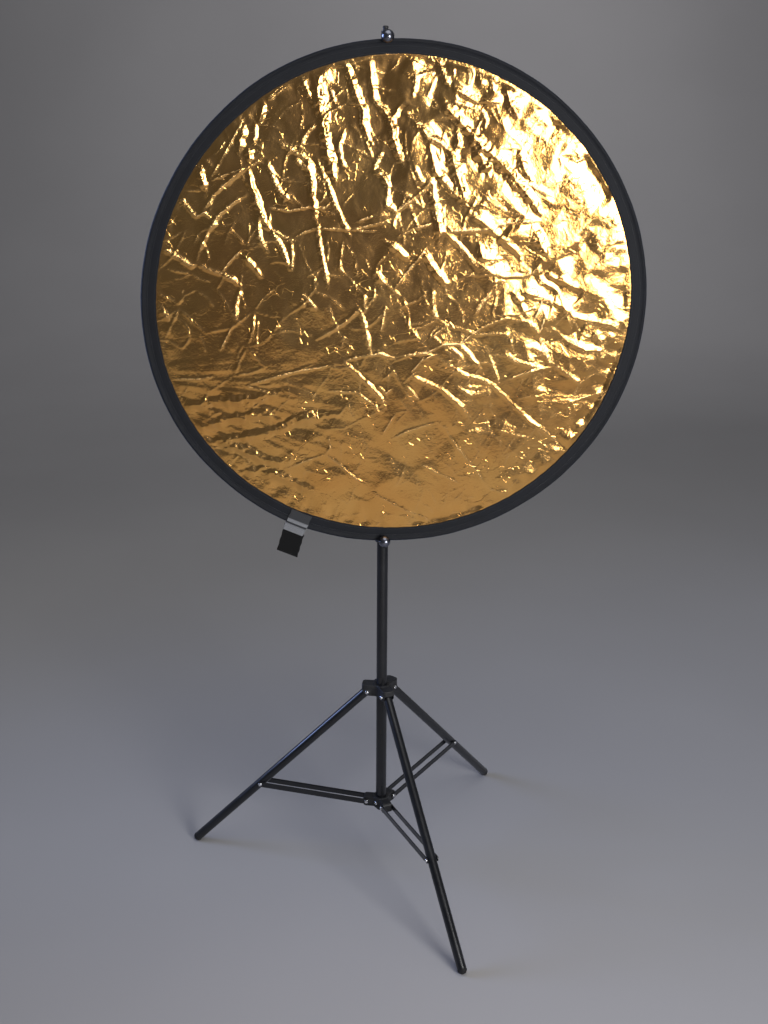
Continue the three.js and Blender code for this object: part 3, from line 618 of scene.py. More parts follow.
# ------------------------------------------------------------------ legs, braces, rivets
def bar(name, length, half, t0, t1, hole_r, slot, body, node, matrix, bevel=0.32):
    """Flat bar with round ends and a hole near each, edges rolled over."""
    cu = bpy.data.curves.new(name + "_curve", "CURVE")
    cu.dimensions, cu.fill_mode = "2D", "BOTH"

    def loop(pts):
        sp = cu.splines.new("POLY")
        sp.points.add(len(pts) - 1)
        for p, q in zip(sp.points, pts):
            p.co = (q[0], q[1], 0, 1)
        sp.use_cyclic_u = True

    arc = lambda cx, r, a0, a1, n: [(cx + r * math.cos(a0 + (a1 - a0) * k / n), r * math.sin(a0 + (a1 - a0) * k / n)) for k in range(n + 1)]
    h = half - bevel
    loop(arc(0, h, math.pi / 2, 1.5 * math.pi, 20) + arc(length, h, -math.pi / 2, math.pi / 2, 20))
    for cx in (0, length):
        loop(arc(cx, hole_r + bevel, 0, -2 * math.pi, 28)[:-1])
    cu.extrude, cu.bevel_depth, cu.bevel_resolution = abs(t1 - t0) / 2 - bevel, bevel, 2
    tmp = bpy.data.objects.new(name + "_tmp", cu)
    bpy.context.scene.collection.objects.link(tmp)
    me = bpy.data.meshes.new_from_object(tmp.evaluated_get(bpy.context.evaluated_depsgraph_get()))
    co = np.zeros(len(me.vertices) * 3)
    me.vertices.foreach_get("co", co)
    co = co.reshape(-1, 3)
    v = np.stack([co[:, 0], co[:, 2] + (t0 + t1) / 2, co[:, 1]], -1)
    faces = [list(p.vertices) for p in me.polygons]
    bpy.data.objects.remove(tmp)
    o = add(name, v, faces, slot, body, [node], matrix)
    tidy(o, 28)
    return o


def rivet(name, spans, r, h, slot, body, nodes, matrix):
    """Round-head rivet along Y: a shank and one or two domed heads. spans is (shank from, shank to, heads at)."""
    y0, y1, heads = spans
    dome = [(r * math.cos(t) ** 0.8, 0.25 * h + 0.75 * h * math.sin(t)) for t in np.linspace(0, math.pi / 2 - 0.02, 9)]
    pts = []
    if -1 in heads:
        pts += [(0, y0 - h)] + [(a, y0 - b) for a, b in dome[::-1]] + [(r, y0)] + [(2.5, y0)]
    else:
        pts += [(0, y0), (2.5, y0)]
    if 1 in heads:
        pts += [(2.5, y1), (r, y1)] + [(a, y1 + b) for a, b in dome] + [(0, y1 + h)]
    else:
        pts += [(2.5, y1), (0, y1)]
    return revolve(name, pts, 40, slot, body, nodes, matrix, "Y", None, 40, closed=False)


DOME = 11.3
for side, az in AZ.items():
    leg_m = at(HUB_R, 0, HUB_Z, az, -LEG_ANGLE)
    body = "leg_" + side
    revolve(f"leg_{side}_tube", tube_outline(11, 1.2, -LEG_LEN + 1, 7.4, 0.35), 80, "black_tube", body, [f"leg_tube_{side}"], leg_m)
    revolve(f"leg_{side}_plug", fillet([(0, -7.5), (9.5, -7.5), (9.5, 7.7), (10.6, 7.7), (10.4, 8.6), (9.2, 9.0), (6.0, 8.8), (5.5, 8.2), (0, 8.2)], [0, .4, .2, .2, .4, .5, .4, .4, 0]),
            56, "black_plastic", body, [f"leg_top_plug_{side}"], leg_m, closed=False)
    arc = [(max(DOME * math.cos(t), 0.0), -LEG_LEN + DOME * math.sin(t)) for t in np.linspace(-math.pi / 2, -0.28, 18)]
    top = -LEG_LEN + 0.7
    foot = [(0, arc[0][1])] + arc[1:] + [(11.28, top - 2.4), (11.0, top - 2.0), (11.28, top - 1.5), (11.28, top - 0.4), (11.1, top), (9.5, top), (9.5, top + 19), (0, top + 19)]
    cap = revolve(f"foot_{side}", foot, 72, "black_rubber", body, [f"foot_cap_{side}"], leg_m, closed=False, sharp=45)
    for v in cap.data.vertices:      # the flat that rests on the floor
        if (cap.matrix_world @ v.co).z < 0.0:
            v.co.z -= (cap.matrix_world @ v.co).z
    rivet(f"hub_rivet_{side}", (-15.5, 15.5, (-1, 1)), 4.6, 2.6, "chrome", "hub", [f"leg_pivot_rivet_{side}"], at(HUB_R, 0, HUB_Z, az))
    rivet(f"collar_rivet_{side}", (-14.5, 14.5, (-1, 1)), 4.6, 2.6, "chrome", "column", [f"brace_inner_rivet_{side}"], at(COL_R, 0, COL_Z, az))
    brace_m = at(COL_R, 0, COL_Z, az, -BAR_ANGLE)
    b = "brace_" + side
    bar(f"brace_{side}_bar_a", BAR_LEN, 7, -14.2, -12.0, 3.1, "black_tube", b, f"brace_bar_{side}_a", brace_m)
    bar(f"brace_{side}_bar_b", BAR_LEN, 7, 12.0, 14.2, 3.1, "black_tube", b, f"brace_bar_{side}_b", brace_m)
    end_m = brace_m @ Matrix.Translation((BAR_LEN, 0, 0))
    rivet(f"brace_{side}_rivet_a", (-14.5, -11.4, (-1,)), 4.6, 2.6, "chrome", b, [f"brace_outer_rivet_{side}_a"], end_m)
    rivet(f"brace_{side}_rivet_b", (11.4, 14.5, (1,)), 4.6, 2.6, "chrome", b, [f"brace_outer_rivet_{side}_b"], end_m)


# ------------------------------------------------------------------ upper sections
revolve("middle_tube", tube_outline(10.8, 1.2, 740, 1500), 88, "black_tube", "middle_mast", ["second_section"])
revolve("top_tube", tube_outline(9.0, 1.1, 1290, 1996), 80, "black_tube", "top_mast", ["third_section"])


def guide(name, z, outer, inner, body, node):
    pts = [(inner - 2.6, z - 12), (outer - 0.8, z - 12), (outer, z - 11), (outer, z - 7), (outer - .5, z - 6.4), (outer, z - 5.8), (outer, z - 0.3), (inner, z - 0.3), (inner, z + 14), (inner - 2.6, z + 14)]
    revolve(name, fillet(pts, .3, 3), 56, "black_plastic", body, [node])


guide("middle_tube_guide", 740, 11.5, 9.3, "middle_mast", "second_section_guide")
guide("top_tube_guide", 1290, 9.3, 7.6, "top_mast", "third_section_guide")


def lock_collar(name, tube_r, next_r, ztop, height, body, node):
    z0, z1 = ztop - height + 6, ztop + 6
    R, in1, in2 = tube_r + 5.3, tube_r + 0.28, next_r + 0.38
    zk, zc, hh = z0 + (height - 6) / 2, (z0 + z1) / 2, (z1 - z0) / 2

    def f(x, y, z):
        r = np.hypot(x, y)
        th = np.arctan2(y, x)
        d = extrude2(r - R, z - zc, hh, 1.6)
        # grip flutes round the lower part
        flute = np.maximum(np.hypot(r - (R + 0.5), (np.mod(th * 18 / math.pi + 0.5, 1) - 0.5) * math.pi / 18 * R) - 1.1, np.abs(z - zc + 2) - (hh - 5.5))
        flute = np.maximum(flute, y - 4)
        d = smax(d, -flute, 0.4)
        boss = extrude2(np.hypot(x, z - zk) - 8.0, y - (R + 7) / 2 - 2, (R + 7) / 2 - 2, 1.0)
        d = smin(d, boss, 2.5)
        d = np.maximum(d, -np.maximum(np.hypot(x, z - zk) - 3.3, 4 - y))
        groove = np.maximum(np.abs(z - (z1 - 5)) - 0.5, (R - 0.6) - r)
        d = smax(d, -groove, 0.3)
        d = np.maximum(d, -np.maximum(r - in1, z - (ztop + 0.3)))
        return smax(d, -(r - in2), 0.4)

    surface(name, f, (-R - 3, -R - 3, z0 - 2), (R + 3, R + 11, z1 + 2), 0.8, "black_casting", body, [node])


lock_collar("base_collar_body", 13, 10.8, 900, 30, "column", "base_lock_collar")
lock_collar("middle_collar_body", 10.8, 9.0, 1500, 28, "middle_mast", "second_lock_collar")
knob("base_knob_head", 13.5, 25.8, 39.8, 11, 9, "base_knob", "base_lock_knob", at(0, 0, 888, 90))
knob("middle_knob_head", 11.3, 23.6, 37.6, 11, 9, "middle_knob", "second_lock_knob", at(0, 0, 1489, 90))

revolve("spigot", fillet([(0, 1976), (7.6, 1976), (7.6, 1996.3), (9, 1996.3), (9, 1998.6), (8.2, 1999.2), (6, 1999.2), (6, 2001.2), (5.1, 2002), (5.1, 2003.6), (6, 2004.4), (6, 2007.2), (4.4, 2009), (0, 2009)],
                         [0, .4, .2, .3, .3, .3, .3, .3, .5, .5, .3, .9, .9, 0]), 64, "black_casting", "top_mast", ["top_spigot"], closed=False)


# ------------------------------------------------------------------ rim clips
def clip(prefix, tube_r, rz0, rz1, az0, az1, stud_z, pz0, pz1, by, hook, body, stud_body):
    outer, zc, hh = tube_r + 5.5, (rz0 + rz1) / 2, (rz1 - rz0) / 2

    def f(x, y, z):
        r = np.hypot(x, y)
        d = extrude2(r - outer, z - zc, hh, 1.2)
        web = extrude2(rect2(x, y + 14.7, 8, 8.7, 1.5), z - zc, hh - 0.5, 1.0)
        d = smin(d, web, 2.5)
        arm = extrude2(rect2(x, z - (az0 + az1) / 2, 8, (az1 - az0) / 2, 4.0), y + 21.55, 1.85, 0.7)
        rib = extrude2(rect2(x, z - (az0 + az1) / 2, 1.2, (az1 - az0) / 2 - 6, 1.0), y + 20.2, 0.95, 0.4)
        d = smin(d, smin(arm, rib, 0.8), 2.0)
        if hook:
            floor_ = extrude2(rect2(x, y + 30.05, 7, 9.35, 1.0), z - (az0 + 880.5 + 0.5) / 2, (880.5 - az0 - 0.5) / 2, 0.8)
            jaw = extrude2(rect2(x, z - (az0 + hook) / 2, 8, (hook - az0) / 2, 4.0), y + 37.6, 1.8, 0.8)
            boss = extrude2(np.hypot(x, z - stud_z) - 6.2, y + 37.7, 1.9, 0.4)
            d = smin(d, smin(floor_, smin(jaw, boss, 0.6), 1.6), 1.6)
        d = smax(d, -(r - (tube_r + 0.38)), 0.4)
        slit = np.maximum(np.maximum(np.abs(x) - 0.9, -y), rz0 - z)
        d = np.maximum(d, -slit)
        ear = extrude2(rect2(np.abs(x) - 3.2, y - outer - 1.0, 2.0, 3.2, 0.8), z - zc, hh - 2.5, 0.8)
        d = smin(d, np.maximum(ear, 0.9 - np.abs(x)), 0.8)
        return np.maximum(d, -np.maximum(np.hypot(x, z - stud_z) - 3.4, y + (34.8 if hook else 17.7)))

    surface(prefix + "_clip", f, (-outer - 2, -41.5 if hook else -27, min(rz0, az0) - 2), (outer + 2, outer + 6, max(rz1, az1) + 2), 0.8, "black_casting", body, [prefix + "_clip_body"])

    def pad(x, y, z):
        d = extrude2(rect2(x, z - (pz0 + pz1) / 2, 7, (pz1 - pz0) / 2, 1.6), y + 24.4, 0.7, 0.35)
        groove = np.maximum(np.abs(np.mod(z - pz0, 2.6) - 1.3) - 0.35, y + 24.8)
        return smax(d, -groove, 0.2)

    surface(prefix + "_pad", pad, (-8, -26, pz0 - 1), (8, -23, pz1 + 1), 0.35, "black_rubber", body, [prefix + "_clip_pad"])
    end = -34.9 if hook else -19.9
    prof = [(0, by - 2), (2.6, by - 2), (3.0, by - 1.5)]
    y = by - 1.5
    while y < end - 1.0:                   # rolled thread
        prof += [(2.72, y + 0.25), (3.0, y + 0.5)]
        y += 0.5
    prof += [(2.6, end), (0, end)]
    revolve(prefix + "_stud", [(r, v) for r, v in prof], 32, "bright_steel", stud_body, [prefix + "_clip_stud"],
            Matrix.Translation((0, 0, stud_z)), "Y", None, 60, closed=False)
    back = math.asin(8.5 / 13.5)
    ball = [(0, by - 13.42)] + [(13.5 * math.cos(t), by + 13.5 * math.sin(t)) for t in np.linspace(-math.pi / 2 + 0.09, -0.14, 24)]
    ball += [(13.25, by - 0.9), (13.25, by + 0.9)]
    ball += [(13.5 * math.cos(t), by + 13.5 * math.sin(t)) for t in np.linspace(0.14, back - 0.06, 12)]
    ball += [(10.1, by + 8.5), (4.2, by + 8.5), (3.35, by + 7.9), (3.35, by - 2.6), (0, by - 2.6)]
    revolve(prefix + "_ball", ball, 96, "chrome", stud_body, [prefix + "_ball_knob"], Matrix.Translation((0, 0, stud_z)), "Y", None, 25, "ball_plating", closed=False)


clip("lower", 10.8, 909.5, 929, 874.5, 929, 893, 887.5, 905, -48.4, 901, "reflector", "lower_ball")
clip("upper", 9.0, 1944, 1964, 1944, 1997, 1989.5, 1966, 1984, -45.8, 0, "top_mast", "upper_ball")

# ------------------------------------------------------------------ reflector disc
DISC_M = Matrix.Translation(DISC)
rng = np.random.default_rng(20261)


def lattice(x, z, size, seed):
    """Smooth value noise in -1..1 with cells of that many millimetres."""
    g = np.random.default_rng(seed).uniform(-1, 1, (64, 64))
    u, v = x / size + 31.5, z / size + 31.5
    i, j = np.floor(u).astype(int) % 63, np.floor(v).astype(int) % 63
    a, b = u - np.floor(u), v - np.floor(v)
    a, b = a * a * a * (a * (a * 6 - 15) + 10), b * b * b * (b * (b * 6 - 15) + 10)
    return (g[i, j] * (1 - a) + g[i + 1, j] * a) * (1 - b) + (g[i, j + 1] * (1 - a) + g[i + 1, j + 1] * a) * b


def smooth(x, a, b):
    t = np.clip((x - a) / (b - a), 0, 1)
    return t * t * (3 - 2 * t)


def scatter(spacing, seed, reach=560.0):
    """Jittered points on a triangular lattice."""
    r = np.random.default_rng(seed)
    pts = []
    rows = int(reach / (spacing * 0.87)) + 1
    for j in range(-rows, rows + 1):
        for i in range(-rows - 2, rows + 3):
            p = np.array([(i + 0.5 * (j % 2)) * spacing, j * spacing * 0.87]) + r.uniform(-0.38, 0.38, 2) * spacing
            if np.hypot(*p) < reach + spacing:
                pts.append(p)
    return np.array(pts)


def triangles(pts):
    out = delaunay_2d_cdt([Vector(p) for p in pts], [], [], 0, 1e-6)
    return [tuple(f) for f in out[2]], [tuple(e) for e in out[1]]


def facets(x, z, spacing, seed):
    """Piecewise flat heights in -1..1 over random triangles."""
    pts = scatter(spacing, seed)
    hs = np.random.default_rng(seed + 1).uniform(-1, 1, len(pts))
    h = np.zeros(len(x))
    tris, _ = triangles(pts)
    for a, b, c in tris:
        A, B, C = pts[a], pts[b], pts[c]
        lo, hi = np.minimum(np.minimum(A, B), C), np.maximum(np.maximum(A, B), C)
        m = np.flatnonzero((x >= lo[0]) & (x <= hi[0]) & (z >= lo[1]) & (z <= hi[1]))
        if not len(m):
            continue
        den = (B[1] - C[1]) * (A[0] - C[0]) + (C[0] - B[0]) * (A[1] - C[1])
        if abs(den) < 1e-9:
            continue
        px, pz = x[m], z[m]
        w0 = ((B[1] - C[1]) * (px - C[0]) + (C[0] - B[0]) * (pz - C[1])) / den
        w1 = ((C[1] - A[1]) * (px - C[0]) + (A[0] - C[0]) * (pz - C[1])) / den
        w2 = 1 - w0 - w1
        inside = (w0 >= -1e-9) & (w1 >= -1e-9) & (w2 >= -1e-9)
        h[m[inside]] = (w0 * hs[a] + w1 * hs[b] + w2 * hs[c])[inside]
    return h


# Main folds of the foil, wide to thin, as crest lines in millimetres from the disc's centre, x to the right and z up seen from the front.
FOLD_LINES = {
    "W": [
        [(-178, 490), (-169, 456), (-163, 416), (-158, 378), (-149, 330), (-143, 294), (-132, 274)],
        [(110, 329), (121, 293), (132, 260), (143, 227)], [(89, 428), (123, 394), (165, 349), (207, 313), (246, 274), (278, 238), (307, 198)],
        [(164, 331), (179, 308), (189, 286)], [(220, 459), (231, 430), (249, 398)], [(256, 325), (268, 292), (283, 271)],
        [(298, 165), (314, 127), (329, 109)],
    ],
    "M": [
        [(-113, 508), (-98, 472), (-87, 437), (-75, 413), (-74, 385), (-65, 358), (-57, 345)],
        [(-61, 516), (-57, 469), (-51, 431), (-24, 403), (-17, 365), (-3, 327)], [(-282, 423), (-281, 408), (-289, 386)],
        [(-270, 433), (-250, 451), (-233, 462)], [(-319, 380), (-326, 355), (-332, 329)], [(-311, 335), (-312, 309)],
        [(-314, 293), (-307, 257), (-298, 224), (-285, 191), (-276, 170)], [(-417, 309), (-411, 280), (-403, 251)],
        [(-190, 315), (-184, 276), (-181, 231), (-175, 184)], [(-52, 289), (-32, 277), (-19, 254)], [(-49, 80), (-35, 56)],
        [(10, 427), (-15, 396), (-12, 359), (-2, 326), (12, 297)], [(9, 408), (39, 383), (66, 357), (90, 344), (107, 328)],
        [(65, 346), (72, 314), (80, 283), (105, 260), (129, 230)], [(74, 262), (76, 222), (85, 185), (91, 156), (87, 133)],
        [(121, 372), (126, 347), (121, 332)], [(165, 488), (172, 457)], [(191, 482), (196, 448)], [(114, 455), (159, 430), (210, 427)],
        [(81, 513), (89, 484), (103, 459)], [(152, 200), (193, 176), (229, 142), (257, 121), (268, 101)], [(176, 134), (188, 96)],
        [(304, 91), (316, 55), (350, 33)], [(56, 117), (81, 82), (110, 44)], [(-19, 137), (5, 120), (22, 103)], [(325, 69), (361, 54), (397, 36)],
        [(254, 29), (272, 8), (284, -20)], [(274, 32), (320, 17), (349, 6), (374, -8), (393, -23)], [(387, -26), (438, -37), (478, -45), (504, -60)],
        [(367, -73), (397, -88), (424, -102), (461, -102)], [(441, -62), (461, -88)], [(451, -102), (467, -124)],
        [(303, -92), (325, -104), (336, -119)],
    ],
    "S": [
        [(-297, 382), (-297, 361), (-302, 348)], [(-274, 171), (-248, 134), (-233, 84)], [(-297, 205), (-295, 155), (-279, 121)],
        [(-319, 297), (-346, 278), (-384, 246), (-412, 207)], [(-320, 241), (-348, 225), (-379, 200), (-401, 167), (-423, 124), (-430, 104)],
        [(-499, 132), (-470, 115), (-440, 95), (-426, 99)], [(-427, 98), (-400, 84), (-377, 77), (-351, 63), (-338, 50)],
        [(-326, 111), (-307, 90), (-291, 67)], [(-173, 184), (-167, 137), (-158, 86), (-149, 42)],
        [(-172, 314), (-149, 263), (-133, 220), (-116, 183), (-103, 153)], [(-169, 382), (-186, 373), (-197, 357), (-204, 342)],
        [(-249, 346), (-227, 333), (-201, 320), (-188, 307)], [(-218, 317), (-201, 298), (-184, 294)],
        [(-274, 308), (-259, 266), (-246, 243), (-222, 226)], [(-114, 370), (-125, 341), (-119, 308), (-109, 294)],
        [(-34, 328), (-48, 303), (-51, 293)], [(-21, 257), (-25, 219), (0, 202)], [(-458, 238), (-442, 215), (-423, 195)],
        [(-202, 481), (-193, 456), (-180, 428)], [(76, 276), (50, 246), (16, 220), (-11, 197)], [(34, 298), (44, 275), (55, 261)],
        [(103, 431), (136, 422), (173, 409), (182, 394), (180, 369)], [(146, 495), (144, 458)], [(34, 486), (32, 455), (26, 433)],
        [(98, 164), (129, 137), (158, 103), (176, 75)], [(106, 165), (155, 164), (196, 164)], [(206, 174), (251, 181), (306, 184)],
        [(253, 273), (288, 256), (327, 236)], [(184, 82), (234, 64), (280, 64), (308, 78)], [(-513, 12), (-500, -9), (-491, -23)],
        [(-119, -118), (-89, -147), (-61, -173), (-36, -202), (-18, -236)], [(-80, 1), (-108, -27), (-139, -48), (-178, -69)],
        [(-82, 0), (-72, -35), (-65, -67), (-59, -103)], [(-72, 28), (-73, -10)], [(-338, 42), (-350, 8), (-350, -27)],
        [(287, -34), (309, -52), (320, -74), (329, -99), (341, -125), (349, -134)],
        [(86, -107), (119, -133), (152, -155), (185, -163), (218, -180), (236, -197), (259, -220), (281, -239), (305, -265), (335, -285), (362, -308), (377, -324), (385, -339)],
        [(139, -86), (161, -108), (179, -130), (191, -148)], [(244, -109), (266, -124), (296, -134), (325, -140)],
        [(353, -135), (379, -152), (402, -167), (421, -182)],
        [(31, -153), (70, -172), (103, -187), (128, -210), (146, -225), (161, -247), (171, -266)], [(207, 32), (187, 8), (170, -20)],
        [(480, -135), (492, -146)], [(76, 37), (80, -9), (88, -31)],
    ],
    "T": [
        [(-315, 401), (-357, 332), (-395, 271)], [(-319, 297), (-355, 285), (-392, 271)], [(-376, 82), (-355, 106), (-331, 129)],
        [(-275, 215), (-231, 208), (-188, 216), (-154, 214), (-141, 227)],
        [(-226, 148), (-202, 162), (-171, 173), (-134, 169), (-90, 169), (-46, 180), (1, 193)], [(-226, 148), (-246, 155), (-269, 172)],
        [(-229, 148), (-225, 115), (-227, 81)], [(-428, 196), (-408, 206), (-392, 190)], [(-118, 141), (-125, 87), (-111, 69)],
        [(-142, 454), (-132, 426), (-119, 411)], [(-90, 184), (-53, 197), (-19, 197)], [(-3, 150), (27, 166), (75, 181)],
        [(-6, 41), (25, 82), (45, 105), (62, 129)], [(-516, 40), (-487, 23)],
        [(-333, -170), (-281, -154), (-228, -141), (-175, -133), (-136, -125), (-117, -125)], [(-333, -170), (-306, -179), (-274, -191)],
        [(-489, -151), (-437, -153), (-402, -147)], [(-112, -116), (-77, -108), (-38, -103), (5, -118)], [(-207, 33), (-191, 16), (-174, -5)],
        [(-25, 3), (-35, -53)], [(-41, -175), (-23, -194), (-9, -183)],
        [(-158, -184), (-123, -188), (-91, -189), (-62, -211), (-37, -234), (-16, -240)], [(-250, -366), (-210, -350), (-160, -333)],
        [(-160, -333), (-131, -356), (-102, -383), (-69, -413)], [(-152, -291), (-149, -318), (-160, -333)], [(-51, -429), (-22, -447), (8, -466)],
        [(-1, -239), (-16, -264), (-33, -294)], [(-356, -31), (-386, -90)],
        [(-15, -114), (38, -104), (70, -101), (102, -85), (141, -84), (161, -67), (189, -47), (217, -35), (242, -27), (267, -34), (288, -33)],
        [(102, -85), (80, -65), (115, -37)], [(32, -147), (56, -119), (88, -105)], [(112, -87), (138, -106), (149, -120)],
        [(205, -107), (217, -136), (229, -166), (233, -180)], [(254, -166), (290, -152), (326, -143), (351, -140)],
        [(388, -224), (421, -214), (453, -205), (478, -196)], [(21, -173), (39, -195), (54, -214)],
        [(136, -179), (158, -194), (169, -201), (194, -196)],
        [(95, -263), (113, -278), (125, -301), (144, -328), (163, -352), (185, -379), (201, -403), (217, -425)], [(217, -425), (254, -437)],
        [(-13, -302), (23, -284), (59, -273), (95, -263)], [(56, -361), (90, -381), (123, -397), (153, -413)],
        [(226, -281), (260, -293), (308, -305)], [(-12, -452), (25, -474), (62, -489), (89, -506)], [(322, 13), (303, -37)],
        [(330, -19), (318, -65)],
    ],
    "R": [
        [(-431, -263), (-371, -246), (-300, -236), (-258, -255)],
        [(-429, -300), (-380, -294), (-323, -287), (-259, -270), (-230, -256), (-177, -246), (-130, -240)],
        [(-464, -214), (-404, -205), (-327, -203), (-264, -189)], [(-391, -305), (-345, -317), (-303, -340), (-250, -353)],
        [(-354, -373), (-304, -367), (-247, -391), (-182, -424)],
    ],
}
HALF_WIDTH = {"W": 15.5, "M": 9.8, "S": 6.0, "T": 3.8, "R": 15.0}
STEEP = {"W": 1.0, "M": 1.0, "S": 1.0, "T": 0.9, "R": 0.55}


def slope_at(x):
    """How steep the folds stand: sharper on the left of the disc than on the right."""
    return min(0.36, max(0.13, 0.25 - 0.00030 * x))


FOLDS = []
for kind, lines in FOLD_LINES.items():
    for line in lines:
        half = HALF_WIDTH[kind]
        FOLDS.append((half * STEEP[kind] * slope_at(sum(p[0] for p in line) / len(line)), half, line, kind == "R"))


def crease_net(spacing, seed, keep, height, width):
    """Random net of small creases with bent edges."""
    pts = scatter(spacing, seed, 520.0)
    r = np.random.default_rng(seed + 5)
    _, edges = triangles(pts)
    out = []
    for a, b in edges:
        if r.random() > keep:
            continue
        p, q = pts[a], pts[b]
        n = np.array([-(q - p)[1], (q - p)[0]])
        mid = (p + q) / 2 + n * r.uniform(-0.12, 0.12)
        half = width * r.uniform(0.85, 1.4)
        out.append((half * height * slope_at(mid[0]) * r.uniform(0.35, 1.2), half, [p, mid, q], False))
    return out


def add_folds(x, z, h, folds, seed, mark=None, crush=1.0):
    """Raises a tent-shaped fold along each polyline, and marks how crushed the film is along its crest; the foil shader
    also paints the marked crest paler, a painted highlight.
    """
    r = np.random.default_rng(seed)
    rough = lattice(x, z, 7.0, seed + 3)
    rough2 = lattice(x, z, 19.0, seed + 4)
    jag = 0.6 * lattice(x, z, 5.2, seed + 9) + 0.4 * lattice(x, z, 10.5, seed + 10)
    for height, half, pts, soft in folds:
        pts = np.array(pts, float)
        total = np.linalg.norm(np.diff(pts, axis=0), axis=1).sum()
        run = 0.0
        lo, hi = pts.min(0) - half * 1.6, pts.max(0) + half * 1.6
        m = np.flatnonzero((x > lo[0]) & (x < hi[0]) & (z > lo[1]) & (z < hi[1]))
        if not len(m):
            continue
        best, along = np.full(len(m), 1e9), np.zeros(len(m))
        for p, q in zip(pts[:-1], pts[1:]):
            d = q - p
            L = np.hypot(*d)
            if L < 1e-6:
                continue
            t = np.clip(((x[m] - p[0]) * d[0] + (z[m] - p[1]) * d[1]) / (L * L), 0, 1)
            dx, dz = x[m] - p[0] - t * d[0], z[m] - p[1] - t * d[1]
            dist = np.hypot(dx, dz)
            better = dist < best
            best[better] = dist[better]
            along[better] = (run + t * L)[better]
            run += L
        s = along / max(total, 1e-6)
        taper = smooth(s, -0.02, 0.16) * smooth(1 - s, -0.02, 0.22)
        wide = half * (0.55 + 0.45 * taper) * (1 + 0.22 * rough2[m])
        tent = np.clip(1 - (best + 0.42 * half * jag[m]) / wide, 0, 1)
        if soft:
            tent = tent * tent * (3 - 2 * tent)
        fade = 1 - (0.6 if crush < 1 else 0.25) * smooth(-z[m], 60, 300)
        h[m] += height * fade * tent * (0.35 + 0.65 * taper) * (1 + 0.32 * rough[m])
        if mark is not None and not soft:
            calm = 1 - 0.45 * smooth(-z[m], 60, 300)
            crest = np.clip(1.1 - best / 1.9, 0, 1) * (0.2 + 0.8 * taper) * min(0.8, 0.3 + 1.6 / half)
            twin = np.clip(1 - np.abs(best - 0.62 * half) / 1.8, 0, 1) * 0.42 * taper * (half > 4)
            mark[m] = np.maximum(mark[m], np.maximum(crest, twin) * calm * crush * (0.75 + 0.45 * rough2[m]))
    return h


def snap(x, z, folds, cell):
    """Moves the nearest points onto the crests, so that the crests stay sharp."""
    for _, half, pts, soft in folds:
        if soft:
            continue
        pts = np.array(pts, float)
        for p, q in zip(pts[:-1], pts[1:]):
            d = q - p
            L2 = d @ d
            if L2 < 1e-6:
                continue
            lo, hi = np.minimum(p, q) - cell, np.maximum(p, q) + cell
            m = np.flatnonzero((x > lo[0]) & (x < hi[0]) & (z > lo[1]) & (z < hi[1]))
            t = ((x[m] - p[0]) * d[0] + (z[m] - p[1]) * d[1]) / L2
            cx, cz = p[0] + t * d[0], p[1] + t * d[1]
            near = (t > 0) & (t < 1) & (np.hypot(cx - x[m], cz - z[m]) < 0.42 * cell)
            x[m[near]], z[m[near]] = cx[near], cz[near]
    return x, z


SMALL = crease_net(76.0, 71, 0.30, 1.0, 2.7) + crease_net(40.0, 93, 0.15, 0.9, 2.4)


def relief(x, z, fine=True, mark=None):
    """Height of the foil towards the front, mm, at points of the disc."""
    r = np.hypot(x, z)
    right = smooth(x + 0.55 * z, -60, 330)            # strongly crumpled upper right
    low = smooth(-z, 90, 330)                         # calmer bottom
    left = smooth(-x, 60, 380)
    h = 1.8 * lattice(x, z, 260, 11) + 0.7 * lattice(x, z, 120, 12) + 0.26 * lattice(x, z, 52, 13)
    h += (1.05 + 1.5 * right + 0.75 * low) * facets(x, z, 58, 21)
    h += (0.46 + 0.5 * right + 0.12 * low) * facets(x, z, 29, 31)
    if fine:
        h += (0.085 + 0.11 * right - 0.045 * low) * facets(x, z, 14, 41)
    # soft ripples that fan out from the lower left rim
    fan = np.degrees(np.arctan2(z + 140, x + 640))
    ripple = np.sin(fan * 1.15 + 1.7 * lattice(x, z, 150, 14)) + 0.5 * np.sin(fan * 2.7 + 2.2 * lattice(x, z, 90, 15))
    h += 0.24 * ripple * smooth(-x - 0.3 * z, 20, 330) * smooth(-z, 60, 200) * (1 - smooth(-z, 330, 480))
    # gathers at the rim, square to it
    th = np.arctan2(z, x)
    gather = np.sin(th * 74 + 3.0 * lattice(th * 90, r * 0, 30, 16)) * (0.6 + 0.4 * lattice(th * 300, r * 0 + 5, 60, 17))
    h += 1.05 * gather * smooth(r, 468, 512)
    pleat = np.sin(th * 150 + 4.0 * lattice(th * 160, r * 0 + 9, 30, 18))
    h += 0.34 * pleat * smooth(r, 490, 514) * (0.5 + 0.5 * lattice(th * 210, r * 0 + 3, 45, 19))
    h = add_folds(x, z, h, SMALL, 51, mark, 0.36)
    h = add_folds(x, z, h, FOLDS, 61, mark)
    return h


